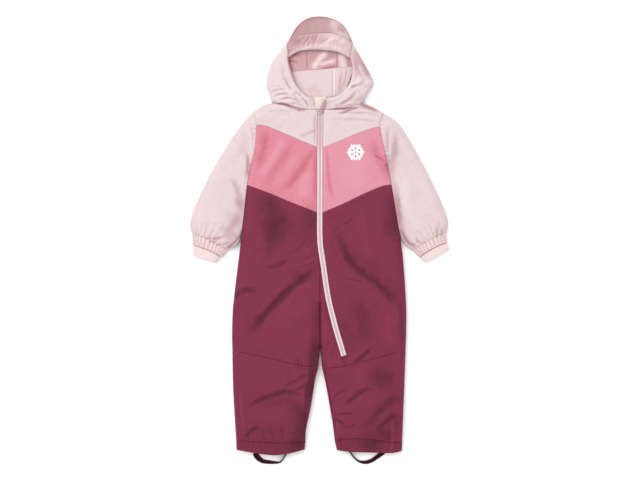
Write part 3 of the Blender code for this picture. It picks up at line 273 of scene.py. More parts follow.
SLEEVE_OUTER = pair(((-136.3, 262.4), (-159.5, 237.8), (-193.5, 188.6), (-229, 127.1), (-259.1, 61.5),
                     (-266.1, 30), (-262.4, 14.3)),
                    ((128.7, 261.2), (161.9, 237.8), (192.7, 188.6), (225.5, 127.1), (256.2, 59.4),
                     (262.4, 30), (258.1, 16.4)))
SLEEVE_INNER = pair(((-142.1, 153.8), (-149.5, 112.3), (-156.7, 45.1), (-162.4, 7), (-172.2, -11.5),
                     (-190, -20.1)),
                    ((138.1, 153.8), (146.5, 113.6), (157.4, 45.9), (162.1, 18), (164.9, 6), (170, -3.4),
                     (177, -13), (184.5, -18.6), (190.5, -20.1)))
CUFF_SEAM = pair(((-262.4, 14.3), (-232.1, 3.7), (-190, -20.1)),
                 ((258.1, 16.4), (230.8, 4.9), (190.5, -20.1)))
CUFF_END = pair(((-260.8, -9.4), (-228, -21.1), (-200.9, -34.8)),
                ((260.8, -4.1), (234.5, -15.2), (202.1, -34.8)))
RIB_START = pair(((-259.4, -10.2), (-228.2, -21.5), (-205.5, -32.9)),
                 ((259.4, -5.2), (234.7, -15.8), (206.5, -32.7)))
RIB_END = pair(((-261, -31.6), (-229.6, -42.4), (-212.3, -45.6)),
               ((265.4, -18.2), (237, -34), (213.6, -45.9)))

HOOD_EDGE = pair(((-67.6, 403.8), (-93.3, 371), (-103.5, 350.5), (-109.9, 321.8), (-105.4, 303.4),
                  (-98.4, 280.8)),
                 ((66.6, 403.8), (88.1, 366.9), (99.4, 346.4), (110, 322.3), (98.8, 303.4), (87.1, 280.8)))
HOOD_DOME = smooth(((-67.6, 403.8), (-47.1, 438.7), (-26.6, 454.3), (-2, 459), (22.5, 455.3), (44.1, 444.8),
                    (58.4, 425.4), (66.6, 403.8)))
HOOD_FOLD = smooth(((-67.6, 403.8), (-53.3, 414.1), (-34.8, 420.2), (-4.1, 423.3), (24.6, 423.3),
                    (43.1, 417.2), (55.4, 410), (66.6, 403.8)))
RIM = pair(((-64.8, 373.5), (-63.1, 360.8), (-51.2, 324.9), (-41.8, 308.5), (-28, 295), (-12.6, 291)),
           ((62.3, 371.5), (66.8, 352), (62.3, 325.9), (51.2, 308.5), (35.9, 295.4), (12.6, 291)))
BRIM_EDGE = smooth(((-64.8, 373.5), (-45.1, 385.4), (-26.6, 388.7), (-4.1, 389.3), (20.5, 387), (38.9, 383.3),
                    (62.3, 371.5)))
CHIN = {"right": straight((-9.4, 267.1), (-12.6, 291)), "left": straight((9.4, 267.1), (12.6, 291))}
CHIN_TOP_Y = 294.0
LINING_TOP = smooth(((-62, 380), (-48, 410), (-24, 428), (0, 432), (24, 428), (48, 410), (62, 380)))
LINING_SEAM = straight((-72, 343.8), (72, 356.2))
NECK_PANEL_FOOT = straight((-44, 285.5), (44, 285.5))

ZIP = smooth(((0.9, 267.3), (0.4, 225), (-0.1, 187), (-0.3, 120), (-0.5, 50), (-0.6, 18), (0.8, -11.3),
              (4.7, -38), (8.3, -62.5), (13.2, -97), (17.9, -124), (25.5, -155), (33.5, -185.5), (41.5, -212),
              (49, -237.8)))

# Down to this y the sleeves lie against the sides
SLEEVE_LEAVES_Y = 0.0
# The crotch seam is shallow above the first y and deep below the second
CROTCH_SHALLOW_Y, CROTCH_DEEP_Y = -150.0, -130.0

ZIP_HALF_WIDTH = 5.6
ZIP_CHAIN_HALF_WIDTH = 1.6
ZIP_MEETS_CROTCH_Y = -47.0
ZIP_END_GAP = 0.6
THIGH_START_Y = -62.0
MEETING_STEPS = 4

# Foot straps: x, y, width across, height
STRAP = pair(((-132, -438.4, 11.5, 3), (-131, -442.5, 11.5, 3), (-126.6, -448.6, 11, 3),
              (-118.6, -454, 9.2, 3), (-110, -456, 8.2, 3), (-100, -456.9, 7, 3.2), (-90, -457.4, 4.8, 4.5),
              (-82, -456.2, 2.8, 6.5), (-76, -449.6, 2.2, 8.5), (-69.8, -440.2, 2.2, 10)),
             ((130.5, -434.5, 10, 3), (128, -437.8, 9.6, 3), (122, -442.5, 8.8, 3), (114.5, -448, 8.2, 3),
              (105.5, -453.6, 7.8, 3), (95, -456.8, 7.4, 3.2), (86, -456.4, 5.6, 4.5),
              (78.5, -453.8, 3.6, 6.5), (71.8, -448.6, 2.8, 8.5), (65.9, -441.2, 2.6, 9.5),
              (61.5, -434.9, 2.6, 10)))

# Folds: x and y of three or more points in units of 2.05 mm, then depth in millimetres, half width in
# units and tone.  A negative depth is a ridge; the tone is shade painted into the cloth's colour, and a
# negative tone is a painted highlight.
UNIT = 2.05
# Half widths out to which a fold is measured and counted, and the share of its length over which it tapers
FOLD_REACH, FOLD_END, FOLD_TAPER = 2.6, 2.59, 0.32
# Noises by which folds wander: pitch and size in half widths
WANDER = ((26.0, 0.35), (9.0, 0.2))
# Sides of the squares of places that sunken spots are measured from, the share of each, and the most
# highlight and shade that sunken spots paint into the cloth's colour
HOLLOW_WINDOWS = ((5, 1.0), (11, 0.5))
PAINTED_LIGHT_MOST, PAINTED_SHADE_MOST = -0.2, 0.35
BODY_FOLDS = (
    (-66, 52, -48, 24, -28, -8, 0.3, 13, 0.38), (-12, 48, -14, 20, -12, -14, 0.2, 8, 0.22),
    (24, -2, 50, -30, 88, -66, 0.4, 9, 0.34), (70, 40, 80, 0, 82, -40, 0.2, 9, 0.2),
    (-92, -58, -70, -80, -48, -94, 0.4, 8, 0.16), (-30, -26, -20, -36, -6, -42, 0.3, 6, 0.3),
    (14, -70, 24, -96, 30, -118, 0.3, 7, 0.3), (56, -96, 64, -112, 70, -126, 0.2, 9, 0.18),
    (-45, 50, -47, 25, -50, -4, 0.8, 9, 0.63), (-46, 14, -50, -4, -52, -24, 0.8, 5, 0.6),
    (-14, 40, -8, 25, -6, 2, 0.3, 6.7, 0.33), (-56, -28, -44, -26, -30, -19, 1, 2.1, 0.6),
    (3, -23, -8, -31, -19.5, -41, -35, -54, -50, -69.5, -75, -98, 3.2, 3.8, 1.2),
    (-5, -35, -30, -62, -62, -100, -0.6, 4.5, -0.25), (-90, -60, -76, -51, -60, -50, 1.2, 2.5, 0.72),
    (-22, -29, -10, -24, -1, -19, 0.6, 0.9, 0.4), (-20, -22, -10, -17, -2, -11, 0.6, 0.9, 0.35),
    (-15, -9, -9, -4, -4, 3, 0.5, 0.9, 0.35), (-13, 9, -8, 16, -5, 25, 0.5, 0.9, 0.35),
    (-32, -14, -20, -8, -10, 4, 0.5, 1.4, 0.25), (-8, -42, -25, -70, -52, -104, -0.4, 7, -0.3),
    (-69, 50, -69, 25, -73, -2, -0.4, 4, -0.22), (-5, -55, -5, -90, -11, -135, 0.6, 3.6, 0.6),
    (-2, -92, -4.5, -112, -9, -140, -12, -172, 1, 3.8, 1.2), (71, 52, 72, 25, 76, -5, 0.8, 9, 0.63),
    (42, 44, 44, 15, 48, -30, -0.4, 6, -0.3),
    (9, 17, 19.5, 0.5, 29, -19, 41, -32.5, 57, -44, 85.5, -73, 2, 4.6, 0.82),
    (20, 15, 27, 17, 34, 22, 0.8, 1, 0.6), (8, 19, 16, 24, 24, 26, 0.6, 1, 0.35),
    (12, 8, 18, 13, 22, 20, 0.6, 1, 0.35), (8, -7, 24, -22, 44, -36, -0.6, 1.2, -0.25),
    (22, -38, 34, -40, 46, -45, 0.8, 1, 0.4), (8, -1, 14, -12, 24, -24, 0.6, 1.2, 0.3),
    (34, -54, 42, -80, 47, -110, 1, 9, 0.54), (54, -105, 43, -116, 31, -125, 1.5, 1.9, 0.9),
    (48, -107, 38, -115, 29, -122, -0.6, 1.2, -0.3), (66, -60, 69, -85, 68, -110, -0.4, 5, -0.4),
    (78, -55, 81, -80, 82, -112, 0.5, 2.3, 0.48), (10, -96, 7, -108, 4, -120, 0.6, 1, 0.4),
    (16, -104, 13, -114, 11, -124, 0.6, 1, 0.35), (20, -110, 22, -118, 24, -126, 0.6, 1, 0.5),
    (5, -56, 6, -72, 10, -88, 0.5, 1.4, 0.4), (28, -115, 26, -121, 24, -128, 0.6, 1.2, 0.5),
    (-22, -114, -22, -122, -22, -130, 0.6, 0.8, 0.5), (-19, -116, -19, -123, -18, -131, 0.6, 0.8, 0.45),
    (-25, -117, -25, -123, -25, -129, 0.6, 0.8, 0.4), (-31, 36, -38, 8, -46, -18, 0, 5, 0.3),
)
SHIN_FOLDS = (
    (-88, -196, -60, -190, -26, -204, 0.3, 10, 0.28), (-34, -152, -22, -180, -26, -212, 0.3, 9, 0.22),
    (-66, -166, -44, -160, -18, -160, 0.3, 7, 0.25), (38, -206, 62, -190, 86, -172, 0.3, 10, 0.5),
    (48, -136, 62, -140, 80, -140, 0.2, 9, 0.34),
    (-78, -171, -58, -159, -45, -154, -30, -152, -13, -157, 1.8, 2.4, 0.72),
    (-72, -178, -45, -172, -22, -172, -0.4, 6, -0.18), (-38, -147, -23, -140, -9, -131, 1, 2.1, 0.6),
    (-26, -151, -16, -146, -8, -142, 0.8, 1.9, 0.54), (-18, -158, -19, -180, -22, -210, 0.8, 7.8, 0.75),
    (-77, -199, -69, -191, -58, -186, 1.5, 2.5, 0.9), (-82, -142, -78, -175, -74, -203, -0.9, 1.6, -0.45),
    (-83, -142, -81, -172, -78, -196, 0.5, 1, 0.35), (11, -161, 17, -154, 30, -147, 1, 1.5, 0.6),
    (20, -167, 32, -159, 42, -151, 57, -148, 1.4, 2.3, 0.72), (48, -127, 62, -136, 78, -141, 0.5, 11.2, 0.42),
    (37, -124, 40, -140, 45, -155, -0.3, 4, -0.28),
    (40, -196, 50, -181, 62, -168, 72, -160, 86, -149, 1.6, 4.6, 0.7),
    (53, -193, 64, -183, 72, -177, 80, -172, 1.4, 2.3, 0.72), (57, -187, 64, -194, 69, -203, 0.4, 5.6, 0.68),
    (15, -175, 25, -173, 35, -173, 0.8, 0.8, 0.8), (11, -180, 18, -180, 26, -186, 0.8, 0.9, 0.8),
    (20, -188, 32, -186, 38, -181, 0.8, 0.9, 0.6), (16, -176, 17, -192, 18, -208, -0.8, 1.3, -0.5),
    (72, -173, 72, -190, 72, -207, -0.8, 1.2, -0.4), (76, -172, 76, -190, 76, -206, 0.6, 1.1, 0.5),
    (69, -187, 69, -197, 69, -207, 0.5, 1, 0.4), (-23, -196, -23, -206, -23, -218, 0.3, 7.3, 0.68),
    (50, -196, 50, -206, 50, -217, 0.3, 10.1, 0.45), (71, -197, 71, -206, 71, -216, -0.4, 2, -0.4),
    (-52, -180, -49, -190, -46, -200, 0.4, 1, 0.3), (-58, -186, -56, -194, -55, -202, 0.4, 1, 0.3),
    (-40, -184, -38, -192, -37, -202, 0.4, 1.2, 0.25),
    (-3.5, -108, -10, -140, -15, -170, -18, -204, 0, 1.6, 0.8),
    (2.5, -112, 7, -142, 12, -172, 16.5, -204, 0, 1.2, 0.7),
)
CHEST_FOLDS = (
    (-53, 112, -56, 92, -62, 67, 1.3, 4.8, 0.6), (-61, 116, -63, 100, -65, 84, -0.4, 2, -0.3),
    (-32, 106, -47, 82, -61, 60, -0.6, 4, -0.55), (-22, 103, -36, 82, -48, 64, -56, 46, 1, 4.6, 0.34),
    (-13, 98, -28, 76, -48, 48, -0.5, 3.4, -0.2), (-2, 95, -14, 77, -22, 65, -30, 55, -42, 44, 1.5, 4, 0.6),
    (-11, 72, -16, 55, -20, 36, -0.6, 5.4, -0.5), (-4, 98, -4.5, 65, -5, 32, 0.6, 2.2, 0.5),
    (6, 99, 7.5, 80, 9, 60, 14, 34, 0.5, 1.8, 0.5), (51, 106, 58, 84, 66, 70, 71, 54, 1, 4.8, 0.45),
    (53, 85, 59, 82, 65, 78, 0.7, 0.9, 0.4), (32, 86, 36, 62, 40, 44, -0.3, 13, -0.4),
    (-22, 102, -10, 107, -2, 111, 0.7, 1.4, 0.25), (-5, 132, -5, 110, -5, 90, 0.5, 2, 0.35),
    (-62, 127, -30, 129, -5, 126, 0.5, 1, 0.2), (6, 127, 40, 127, 66, 123, 0.6, 1.2, 0.25),
    (7, 121, 40, 120, 64, 117, 0.5, 1.2, 0.2),
    (-50, 136.6, -36, 135.4, -28, 132.4, -20, 130, -9, 129.7, 1.6, 1.3, 1.5),
    (6, 130.3, 25, 131, 42, 133, 1.4, 1, 1.3), (18, 125, 29, 129.5, 42, 132.5, 1.2, 0.9, 0.9),
    (34, 138, 48, 133, 62, 128, 0.8, 1.8, 0.7), (36, 136, 48, 133, 62, 127, 0, 2.8, 0.6),
)
ARM_FOLDS = (
    (-89, 66, -83, 50, -80, 38, -77, 24, 1.2, 3.4, 0.5), (-75, 48, -78, 32, -86, 16, -100, 2, 0.5, 5, 0.36),
    (-83, 32, -86, 15, -94, 0, 0.6, 9, 0.3), (-77, 114, -76, 95, -77, 80, 0.8, 4, 0.18),
    (-72, 116, -68, 95, -69, 82, -0.4, 1.5, -0.2), (-71, 121, -67, 100, -69, 82, 0.4, 0.8, 0.3),
    (-115, 3, -106, 1, -94, 4, 1.2, 1.2, 0.55), (-114, -1, -106, -2, -98, 3, 0.8, 1, 0.4),
    (-76, 12, -83, 0, -96, -10, 0.8, 1.5, 0.8), (-78, 7, -86, -4, -98, -10, 0.8, 1, 0.5),
    (-86, 1, -94, -4, -106, -5, 0.8, 1.2, 0.4), (-73, 90, -72, 76, -73.5, 58, 1, 2, 0.9),
    (68, 118, 67, 98, 67, 80, 72, 58, 0.8, 2.3, 0.5), (76, 116, 75, 95, 73, 78, 73, 56, 0.7, 3.6, 0.62),
    (71, 116, 70, 95, 70, 76, -0.4, 1, -0.1), (72, 70, 76, 45, 79, 26, 83, 6, 1, 2.8, 0.42),
    (79, 14, 86, 0, 98, -10, 0.8, 1.9, 0.65), (84, 36, 90, 22, 100, 10, 0, 6, -0.16),
    (86, 70, 84, 44, 88, 22, -0.4, 4, -0.25), (81, 9, 88, -2, 99, -7, 0.8, 1, 0.5),
    (119, 20, 117, 8, 115, -1, 0.8, 1.5, 0.4), (125, 19, 122, 8, 120, 0, 0.8, 1.5, 0.35),
    (92, 2, 101, -3, 108, -1, 0.8, 1, 0.4), (-99, 2, -89, 4, -82, 9, 0, 5, 0.4),
    (-112, 36, -108, 24, -104, 14, 0, 9, -0.2),
)
FRONT_FOLDS = BODY_FOLDS + SHIN_FOLDS + CHEST_FOLDS + ARM_FOLDS
# Places where the shell is crumpled most: x, y, reach, gain
CRUMPLED = (
    (-110.0, 300.0, 45.0, 1.2), (-60.0, 296.0, 34.0, 1.4), (70.0, 300.0, 42.0, 1.3), (95.0, 345.0, 40.0, 1.2),
    (60.0, 268.0, 45.0, 0.7), (-50.0, 268.0, 45.0, 0.6), (-20.0, 408.0, 40.0, 1.0), (30.0, 412.0, 40.0, 0.7),
    (0.0, -215.0, 34.0, 0.8), (-16.0, -255.0, 26.0, 0.6), (40.0, -262.0, 34.0, 0.7),
    (-60.0, -420.0, 60.0, 0.6), (70.0, -420.0, 60.0, 0.6), (232.0, 30.0, 40.0, 1.0), (-225.0, 28.0, 40.0, 1.0),
)
HOOD_FOLDS = (
    (-52, 144, -42, 150, -32, 149, 0.9, 1.1, 0.45), (-50, 142, -38, 146, -28, 143, 0.9, 1.1, 0.45),
    (-42, 139, -32, 142, -22, 139, 0.9, 1, 0.5), (-29, 143, -23, 147, -17, 142, 0.9, 1, 0.5),
    (-38, 178, -36, 162, -28, 148, 0.6, 1.2, 0.25), (-35, 163, -31, 153, -25, 149, 0.6, 1, 0.4),
    (-20, 143, -14, 138, -11, 131, 0.9, 1, 0.6), (-32, 137.5, -23, 136, -14, 133, 0.8, 1, 0.45),
    (-27, 145, -22, 139, -19, 135, 0.8, 1, 0.4), (-54, 140, -40, 148.5, -28, 146, -0.7, 1.2, -0.35),
    (-47, 138, -35, 143.8, -22, 141, -0.7, 1, -0.35), (-18, 145, -13, 140, -8, 134, -0.7, 1.2, -0.3),
    (-50, 136.6, -36, 135.4, -28, 132.4, -20, 130, -9, 129.7, 1.6, 1.3, 1.5),
    (6, 130.3, 25, 131, 42, 133, 1.4, 1, 1.3), (6, 134, 20, 141, 30, 150, 40, 161, 0.9, 1, 0.45),
    (9, 134.5, 24, 144, 35, 156, -0.8, 1.2, -0.4), (10, 132, 26, 139, 40, 152, 0.9, 1, 0.36),
    (22, 137, 29, 140, 35, 145, 0.9, 0.9, 0.4), (16, 131, 30, 137.5, 44, 149, -0.6, 0.9, -0.4),
    (18, 135, 28, 137, 36, 142, 0.8, 0.9, 0.5), (12, 131.3, 24, 134, 36, 135.5, 0.8, 0.9, 0.6),
    (28, 155, 36, 157, 43, 163, -0.8, 1, -0.5), (29, 152, 37, 154, 45, 159, 0.8, 1, 0.5),
    (33, 184, 36, 170, 31, 154, 1, 2.2, 0.2), (38, 182, 48, 166, 54, 154, 0.5, 1.5, 0.2),
    (30, 140, 38, 140, 45, 146, 0.4, 4, 0.3), (-8, 143.5, -6.5, 138, -6, 132, 0.8, 0.8, 0.7),
    (-45, 176, -48, 160, -46, 148, 0.4, 4, 0.12), (-46, 137.5, -34, 138.5, -24, 136.5, -0.5, 0.9, -0.4),
    (-36, 152, -30, 148, -22, 143, -0.5, 0.8, -0.35), (-30, 141, -25, 137, -20, 134.5, -0.5, 0.8, -0.35),
    (-56, 150, -48, 153, -38, 153, 0.5, 1, 0.2), (36, 178, 42, 168, 46, 158, -0.5, 1.4, -0.3),
    (33, 195, 42, 174, 51, 157, 0, 6.5, 0.7), (-33, 197, -31.8, 178, -26.8, 160, -17, 145, 0, 1, 0.9),
)
BRIM_RIDGES = (
    (-18, 192, -13, 199, -8, 205, 0.9, 1.1, 0.25), (-14, 192, -10, 199, -6, 205, 0.7, 0.9, 0.2),
    (-8, 193, -4, 200, -1, 206, 0.9, 1.1, 0.26), (-4, 194, -1, 200, 2, 206, 0.7, 0.9, 0.15),
    (-23, 194, -18, 200, -14, 205, 0.8, 1, 0.2), (-30, 192, -23, 198, -18, 202, 0.8, 1, 0.2),
    (-2, 196, 4, 199, 11, 203, 0.8, 1.1, 0.45), (14, 194, 18, 199, 24, 203, 0.5, 1, 0.2),
    (-34, 186, -18, 199, 6, 203, 0.3, 6.5, 0.65), (-37, 186, -30, 196, -22, 206, 0.3, 5, 0.55),
    (-16, 193, -11, 199, -7, 206, -0.5, 1, -0.5), (-5, 193, -2.5, 199, 0, 206, -0.5, 1, -0.4),
    (4, 193, 9, 199, 16, 204, -0.4, 2, -0.25), (4, 200, 16, 201, 30, 196, -0.3, 5, -0.3),
    (-36, 184, -10, 192.6, 0, 193.2, 15, 192.2, 34, 184, -0.7, 2.4, -0.25),
    (-38, 184, -29, 189, -22, 192, 0.5, 2.4, 0.5),
)
CROWN_RIDGES = (
    (-20, 216, -4, 223, 12, 221, 0.6, 1.6, 0.5), (-34, 200, -14, 212, 8, 213, 0.4, 6, 0.25),
    (-32, 198, -28, 206, -18, 216, 0.5, 2, 0.5), (8, 222, 18, 213, 30, 198, -0.3, 5.5, -1.3),
    (14, 217, 21, 211, 27, 205, 0.8, 2.2, 1.4), (8, 207, 20, 204, 31, 196, -0.6, 1.8, -0.8),
    (-12, 209, -4, 213, 4, 210, -0.3, 3, -0.25),
)
LINING_RIDGES = (
    (-13, 192, -13.2, 182, -13, 168, 0.7, 0.6, 0.55), (17, 190, 17.2, 181, 17, 169, 0.7, 0.6, 0.55),
    (-9, 168, -1, 180, 9, 190, -2, 3.2, -1.1), (-3, 175, 9, 178, 18, 181, -1.2, 1.8, -0.9),
    (0, 171, 9, 172.6, 19, 174.2, 1, 1, 0.6), (-32, 188, -22, 185, -12, 188, 0.6, 0.9, 0.45),
    (-36, 178, -27, 179, -21, 176, 0.6, 0.9, 0.45), (20, 188, 22, 178, 24, 168, -0.4, 3, -0.8),
    (27, 186, 28.5, 176, 28, 166, 0.4, 1.4, 0.5), (18, 192, 25, 180, 27, 164, -0.3, 5, -0.4),
    (-36, 175, -18, 192, 0, 194.5, 18, 192, 36, 178, 0, 1.4, 1.1), (-33, 186, -30, 174, -27, 160, 0, 1.8, 0.6),
)
NECK_RIDGES = (
    (12.6, 178, 12.7, 156, 12.8, 138, 0.4, 0.6, 0.25), (13.8, 178, 13.9, 156, 14, 138, -0.6, 0.7, -0.6),
    (23, 172, 20, 156, 21, 142, 0.8, 1.6, 0.3), (28, 176, 25, 160, 22, 148, 0.8, 1.4, 0.25),
    (-10, 156, -4, 150, 4, 148, 0.4, 5, 0.15), (-32, 182, -28, 162, -23, 150, -14, 142, 0, 1.4, 1.2),
    (8, 143.4, 13, 142.6, 18, 144, 0.4, 0.9, 1), (34, 166, 29, 154, 20, 144, 0, 2.2, -0.6),
)


@dataclass(frozen=True)
class Slope:
    """A line that presses the padding down by a drop, full out to the start and gone past the width."""

    line: Array
    width: float
    drop: float
    start: float = 0.0

    def at(self, places: Array) -> Array:
        """Drop at places: drop * (1 - quarter round of (gap - start) / width)."""
        gap = nearest(places, self.line, self.start + self.width)[0]
        return self.drop * fall(gap - self.start, self.width)


@dataclass(frozen=True)
class Gather:
    """Ripples square to a seam, strongest at it and gone at their reach."""

    line: Array
    pitch: float
    height: float
    reach: float
    start: float = 0.0

    # Reaches out to which it is measured and counted, and the noises of its drift and of its strength
    MEASURED, COUNTED = 2.4, 2.39
    DRIFT, DRIFT_PITCH = 2.4, 3.1
    LUMP_MEAN, LUMP, LUMP_PITCH, LUMP_SHIFT = 0.65, 0.55, 2.3, 500.0

    def at(self, places: Array) -> Array:
        """Rise at places: cos(2 pi run / pitch + drift) * height * lumps, faded by exp(-(gap / reach)^2)."""
        gap, run = nearest(places, self.line, self.start + self.MEASURED * self.reach)
        drift = self.DRIFT * NOISE.at(np.column_stack([run, gap]), self.DRIFT_PITCH * self.pitch)
        moved = np.column_stack([run + self.LUMP_SHIFT, gap])
        lumps = self.LUMP_MEAN + self.LUMP * NOISE.at(moved, self.LUMP_PITCH * self.pitch)
        fade = np.exp(-((np.maximum(gap - self.start, 0.0) / self.reach) ** 2))
        fade = np.where(gap >= self.start + self.COUNTED * self.reach, 0.0, fade)
        return self.height * lumps * np.cos(TURN * run / self.pitch + drift) * fade


def fold_sums(places: Array, rows: Iterable[tuple]) -> tuple[Array, Array]:
    """Depth and tone of folds: each times exp(-(gap / width + wander)^2), tapered to nothing at its ends.

    Args:
        places: points in plan.
        rows: the folds.
    Returns:
        Summed depths in millimetres and summed tones.
    """
    depth, tone = np.zeros(len(places)), np.zeros(len(places))
    wander = sum(size * NOISE.at(places, pitch) for pitch, size in WANDER)
    for *points, deep, width, dark in rows:
        line = smooth(np.reshape(np.array(points, float), (-1, 2)) * UNIT)
        width = width * UNIT
        gap, run = nearest(places, line, FOLD_REACH * width)
        span = lengths(line)[-1]
        taper = ease(np.minimum(run, span - run) / (FOLD_TAPER * span))
        inside = gap < FOLD_END * width
        share = taper * np.exp(-((gap / width + wander * inside) ** 2)) * inside
        depth += deep * share
        # Each fold's tone paints shade into the cloth's colour along it
        tone += dark * share
    return depth, tone


def sunk(height: Array, rows: int, window: int) -> Array:
    """How far each place of a grid lies below the mean of the square of places round it, in millimetres."""
    grid = height.reshape(rows, -1)
    wider = np.pad(grid, window // 2, mode="edge")
    squares = np.lib.stride_tricks.sliding_window_view(wider, (window, window))
    return (squares.mean(axis=(2, 3)) - grid).ravel()


def painted_shading_of(height: Array, rows: int, folds: Array, sink_gain: float = 0.3) -> Array:
    """How dark the cloth lies, from -1 in full light to 1: the folds' tone and its own small hollows.

    Args:
        height: height of the cloth at each place of a grid.
        rows: how many rows the grid has.
        folds: summed tone of the folds at each place.
        sink_gain: tone for each millimetre that a place lies below its surroundings.
    Returns:
        Tones.
    """
    own = sink_gain * sum(share * sunk(height, rows, window) for window, share in HOLLOW_WINDOWS)
    return np.clip(folds + np.clip(own, PAINTED_LIGHT_MOST, PAINTED_SHADE_MOST), -1.0, 1.0)


def slope_drop(places: Array, slopes: Iterable[Slope]) -> Array:
    """How far edges and seams press the padding down: the cube root of the sum of cubed quarter rounds."""
    return np.cbrt(sum(row.at(places) ** 3 for row in slopes))


# ------------------------------------------------------------------ the suit's own lines
# Knee seams: right, left from the inner leg to the zip's line, and left from there outward
KNEES = [smooth(rows) for rows in (KNEE_RIGHT, KNEE_LEFT_INNER, KNEE_LEFT_OUTER)]
ZIP_EDGE = {"right": beside(ZIP, ZIP_HALF_WIDTH), "left": beside(ZIP, -ZIP_HALF_WIDTH)}
HOOD_OUTLINE = join(HOOD_EDGE["right"][::-1], HOOD_DOME, HOOD_EDGE["left"])
HOOD_RIM = join(RIM["right"][::-1], BRIM_EDGE, RIM["left"])
NECK_SEAM = join(NECK["right"], NECK["left"][::-1])


@dataclass
class Padding:
    """Heights of the padded shell over the plan, in millimetres."""

    top: float = 22.5
    edge_least: float = 11.2
    under: float = 9.3
    lump: float = 1.1
    small_lump: float = 0.35
    arch: float = 5.0
    arch_reach: float = 34.0
    chin_y: float = 280.0
    chin_flat: float = 20.0
    slopes: list[Slope] = field(default_factory=list)
    gathers: list[Gather] = field(default_factory=list)

    # Noises: pitch, turn and stretch
    BROAD, MIDDLING, SMALL = (58.0, 0.5, 1.4), (31.0, -0.6, 1.7), (15.0, 0.7, 2.4)
    RIDGES, VALLEYS, FINE = (13.0, 0.7, 2.1), (8.0, 0.4, 1.8), (4.5, 0.6, 1.8)
    # Shifts that keep noises apart, and each noise's share of its sum
    MIDDLING_SHIFT, CRUMPLED_SHIFT, VALLEYS_SHIFT, FINE_SHIFT = 300.0, 1300.0, 450.0, -900.0
    MIDDLING_SHARE, RIDGES_SHARE, VALLEYS_SHARE, FINE_SHARE = 0.6, 0.6, 0.45, 0.25
    CRUMPLED_PITCH, CRUMPLED_MEAN, CRUMPLED_SWING = 47.0, 0.5, 0.4
    # Creases are calmed to a share where the padding is pressed down by CALM_DROP, and the top stays within
    CALM_DROP, CALMED, ABOVE_TOP = 6.0, 0.7, 1.2

    def __post_init__(self) -> None:
        """Lay out the slopes and gathers of the front."""
        sides = list(SIDE.values())
        rolled = (*((between(side, 1, SLEEVE_LEAVES_Y, side[-1, 1]), 20.0, 11.3) for side in sides),
                  *((between(side, 1, side[0, 1], SLEEVE_LEAVES_Y), 13.0, 4.5) for side in sides),
                  *((line, 16.0, 10.0) for line in INNER.values()),
                  *((line, 16.0, 9.0) for line in SHOULDER.values()),
                  (between(CROTCH, 1, CROTCH[0, 1], CROTCH_SHALLOW_Y), 10.0, 3.0),
                  (between(CROTCH, 1, CROTCH_DEEP_Y, CROTCH[-1, 1]), 13.0, 8.5),
                  *((line, 8.0, 1.8) for line in NECK.values()),
                  (ZIP, 12.0, 3.0, ZIP_HALF_WIDTH))
        seams = ((ARMHOLE.values(), 6.0, 1.1), (CREST.values(), 4.0, 0.6), (CHEVRON.values(), 4.0, 0.6),
                 (KNEES, 4.0, 0.7), (HEM_SEAM.values(), 16.0, 4.0))
        self.slopes = [Slope(*row) for row in rolled]
        self.slopes += [Slope(line, *shape) for lines, *shape in seams for line in lines]
        ripples = ((CREST.values(), 9.0, 0.16, 7.0), (CHEVRON.values(), 10.0, 0.2, 8.0),
                   (KNEES[:1], 7.5, 0.3, 7.0), (KNEES[1:2], 7.0, 0.45, 8.0), (KNEES[2:], 7.5, 0.3, 7.0),
                   (HEM_SEAM.values(), 8.0, 0.55, 10.0), (ARMHOLE.values(), 9.0, 0.25, 7.0),
                   (SIDE.values(), 13.0, 0.35, 12.0), (NECK.values(), 9.0, 0.35, 9.0), ((ZIP,), 14.0, 0.2, 9.0))
        self.gathers = [Gather(line, *shape) for lines, *shape in ripples for line in lines]

    def lumps(self, places: Array) -> Array:
        """Soft unevenness of the filling: broad lumps and middling slanting ones."""
        middling = self.MIDDLING_SHARE * NOISE.at(places + self.MIDDLING_SHIFT, *self.MIDDLING)
        broad = NOISE.at(places, *self.BROAD) + middling
        return self.lump * broad + self.small_lump * NOISE.at(places, *self.SMALL)

    def crumple(self, places: Array) -> Array:
        """Fine creases of the thin shell: ridges and valleys of crumpled noise, stronger in some places."""
        swing = NOISE.at(places + self.CRUMPLED_SHIFT, self.CRUMPLED_PITCH)
        share = self.CRUMPLED_MEAN + self.CRUMPLED_SWING * swing
        for x, y, reach, gain in CRUMPLED:
            share += gain * np.exp(-(((places - (x, y)) / reach) ** 2).sum(1))
        ridges = 0.5 - NOISE.creased(places, *self.RIDGES)
        valleys = NOISE.creased(places + self.VALLEYS_SHIFT, *self.VALLEYS) - 0.5
        fine = NOISE.at(places + self.FINE_SHIFT, *self.FINE)
        return share * (self.RIDGES_SHARE * ridges + self.VALLEYS_SHARE * valleys + self.FINE_SHARE * fine)

    def front(self, places: Array, crumpled: float = 0.45) -> tuple[Array, Array]:
        """Outer face of the front.

        Args:
            places: points in plan.
            crumpled: strength of the shell's fine creases.
        Returns:
            Heights, and the folds' tones.
        """
        drop = slope_drop(places, self.slopes)
        calm = 1.0 - self.CALMED * np.clip(drop / self.CALM_DROP, 0.0, 1.0)
        depth, tone = fold_sums(places, FRONT_FOLDS)
        height = self.top - drop - depth
        height += (self.lumps(places) + crumpled * self.crumple(places)) * calm
        height += sum(row.at(places) for row in self.gathers)
        return np.clip(height, self.edge_least, self.top + self.ABOVE_TOP), tone

    def hood_under(self, places: Array) -> Array:
        """Underside of the hood's sides and crown, arched up from its outline, neck seam and chin."""
        arch = roll(nearest(places, HOOD_OUTLINE, self.arch_reach)[0] / self.arch_reach)
        arch *= roll(nearest(places, NECK_SEAM, self.arch_reach)[0] / self.arch_reach)
        chin = np.hypot(places[:, 0], places[:, 1] - self.chin_y)
        return self.under + self.arch * arch * roll((chin - self.chin_flat) / self.arch_reach)


PADDING = Padding()


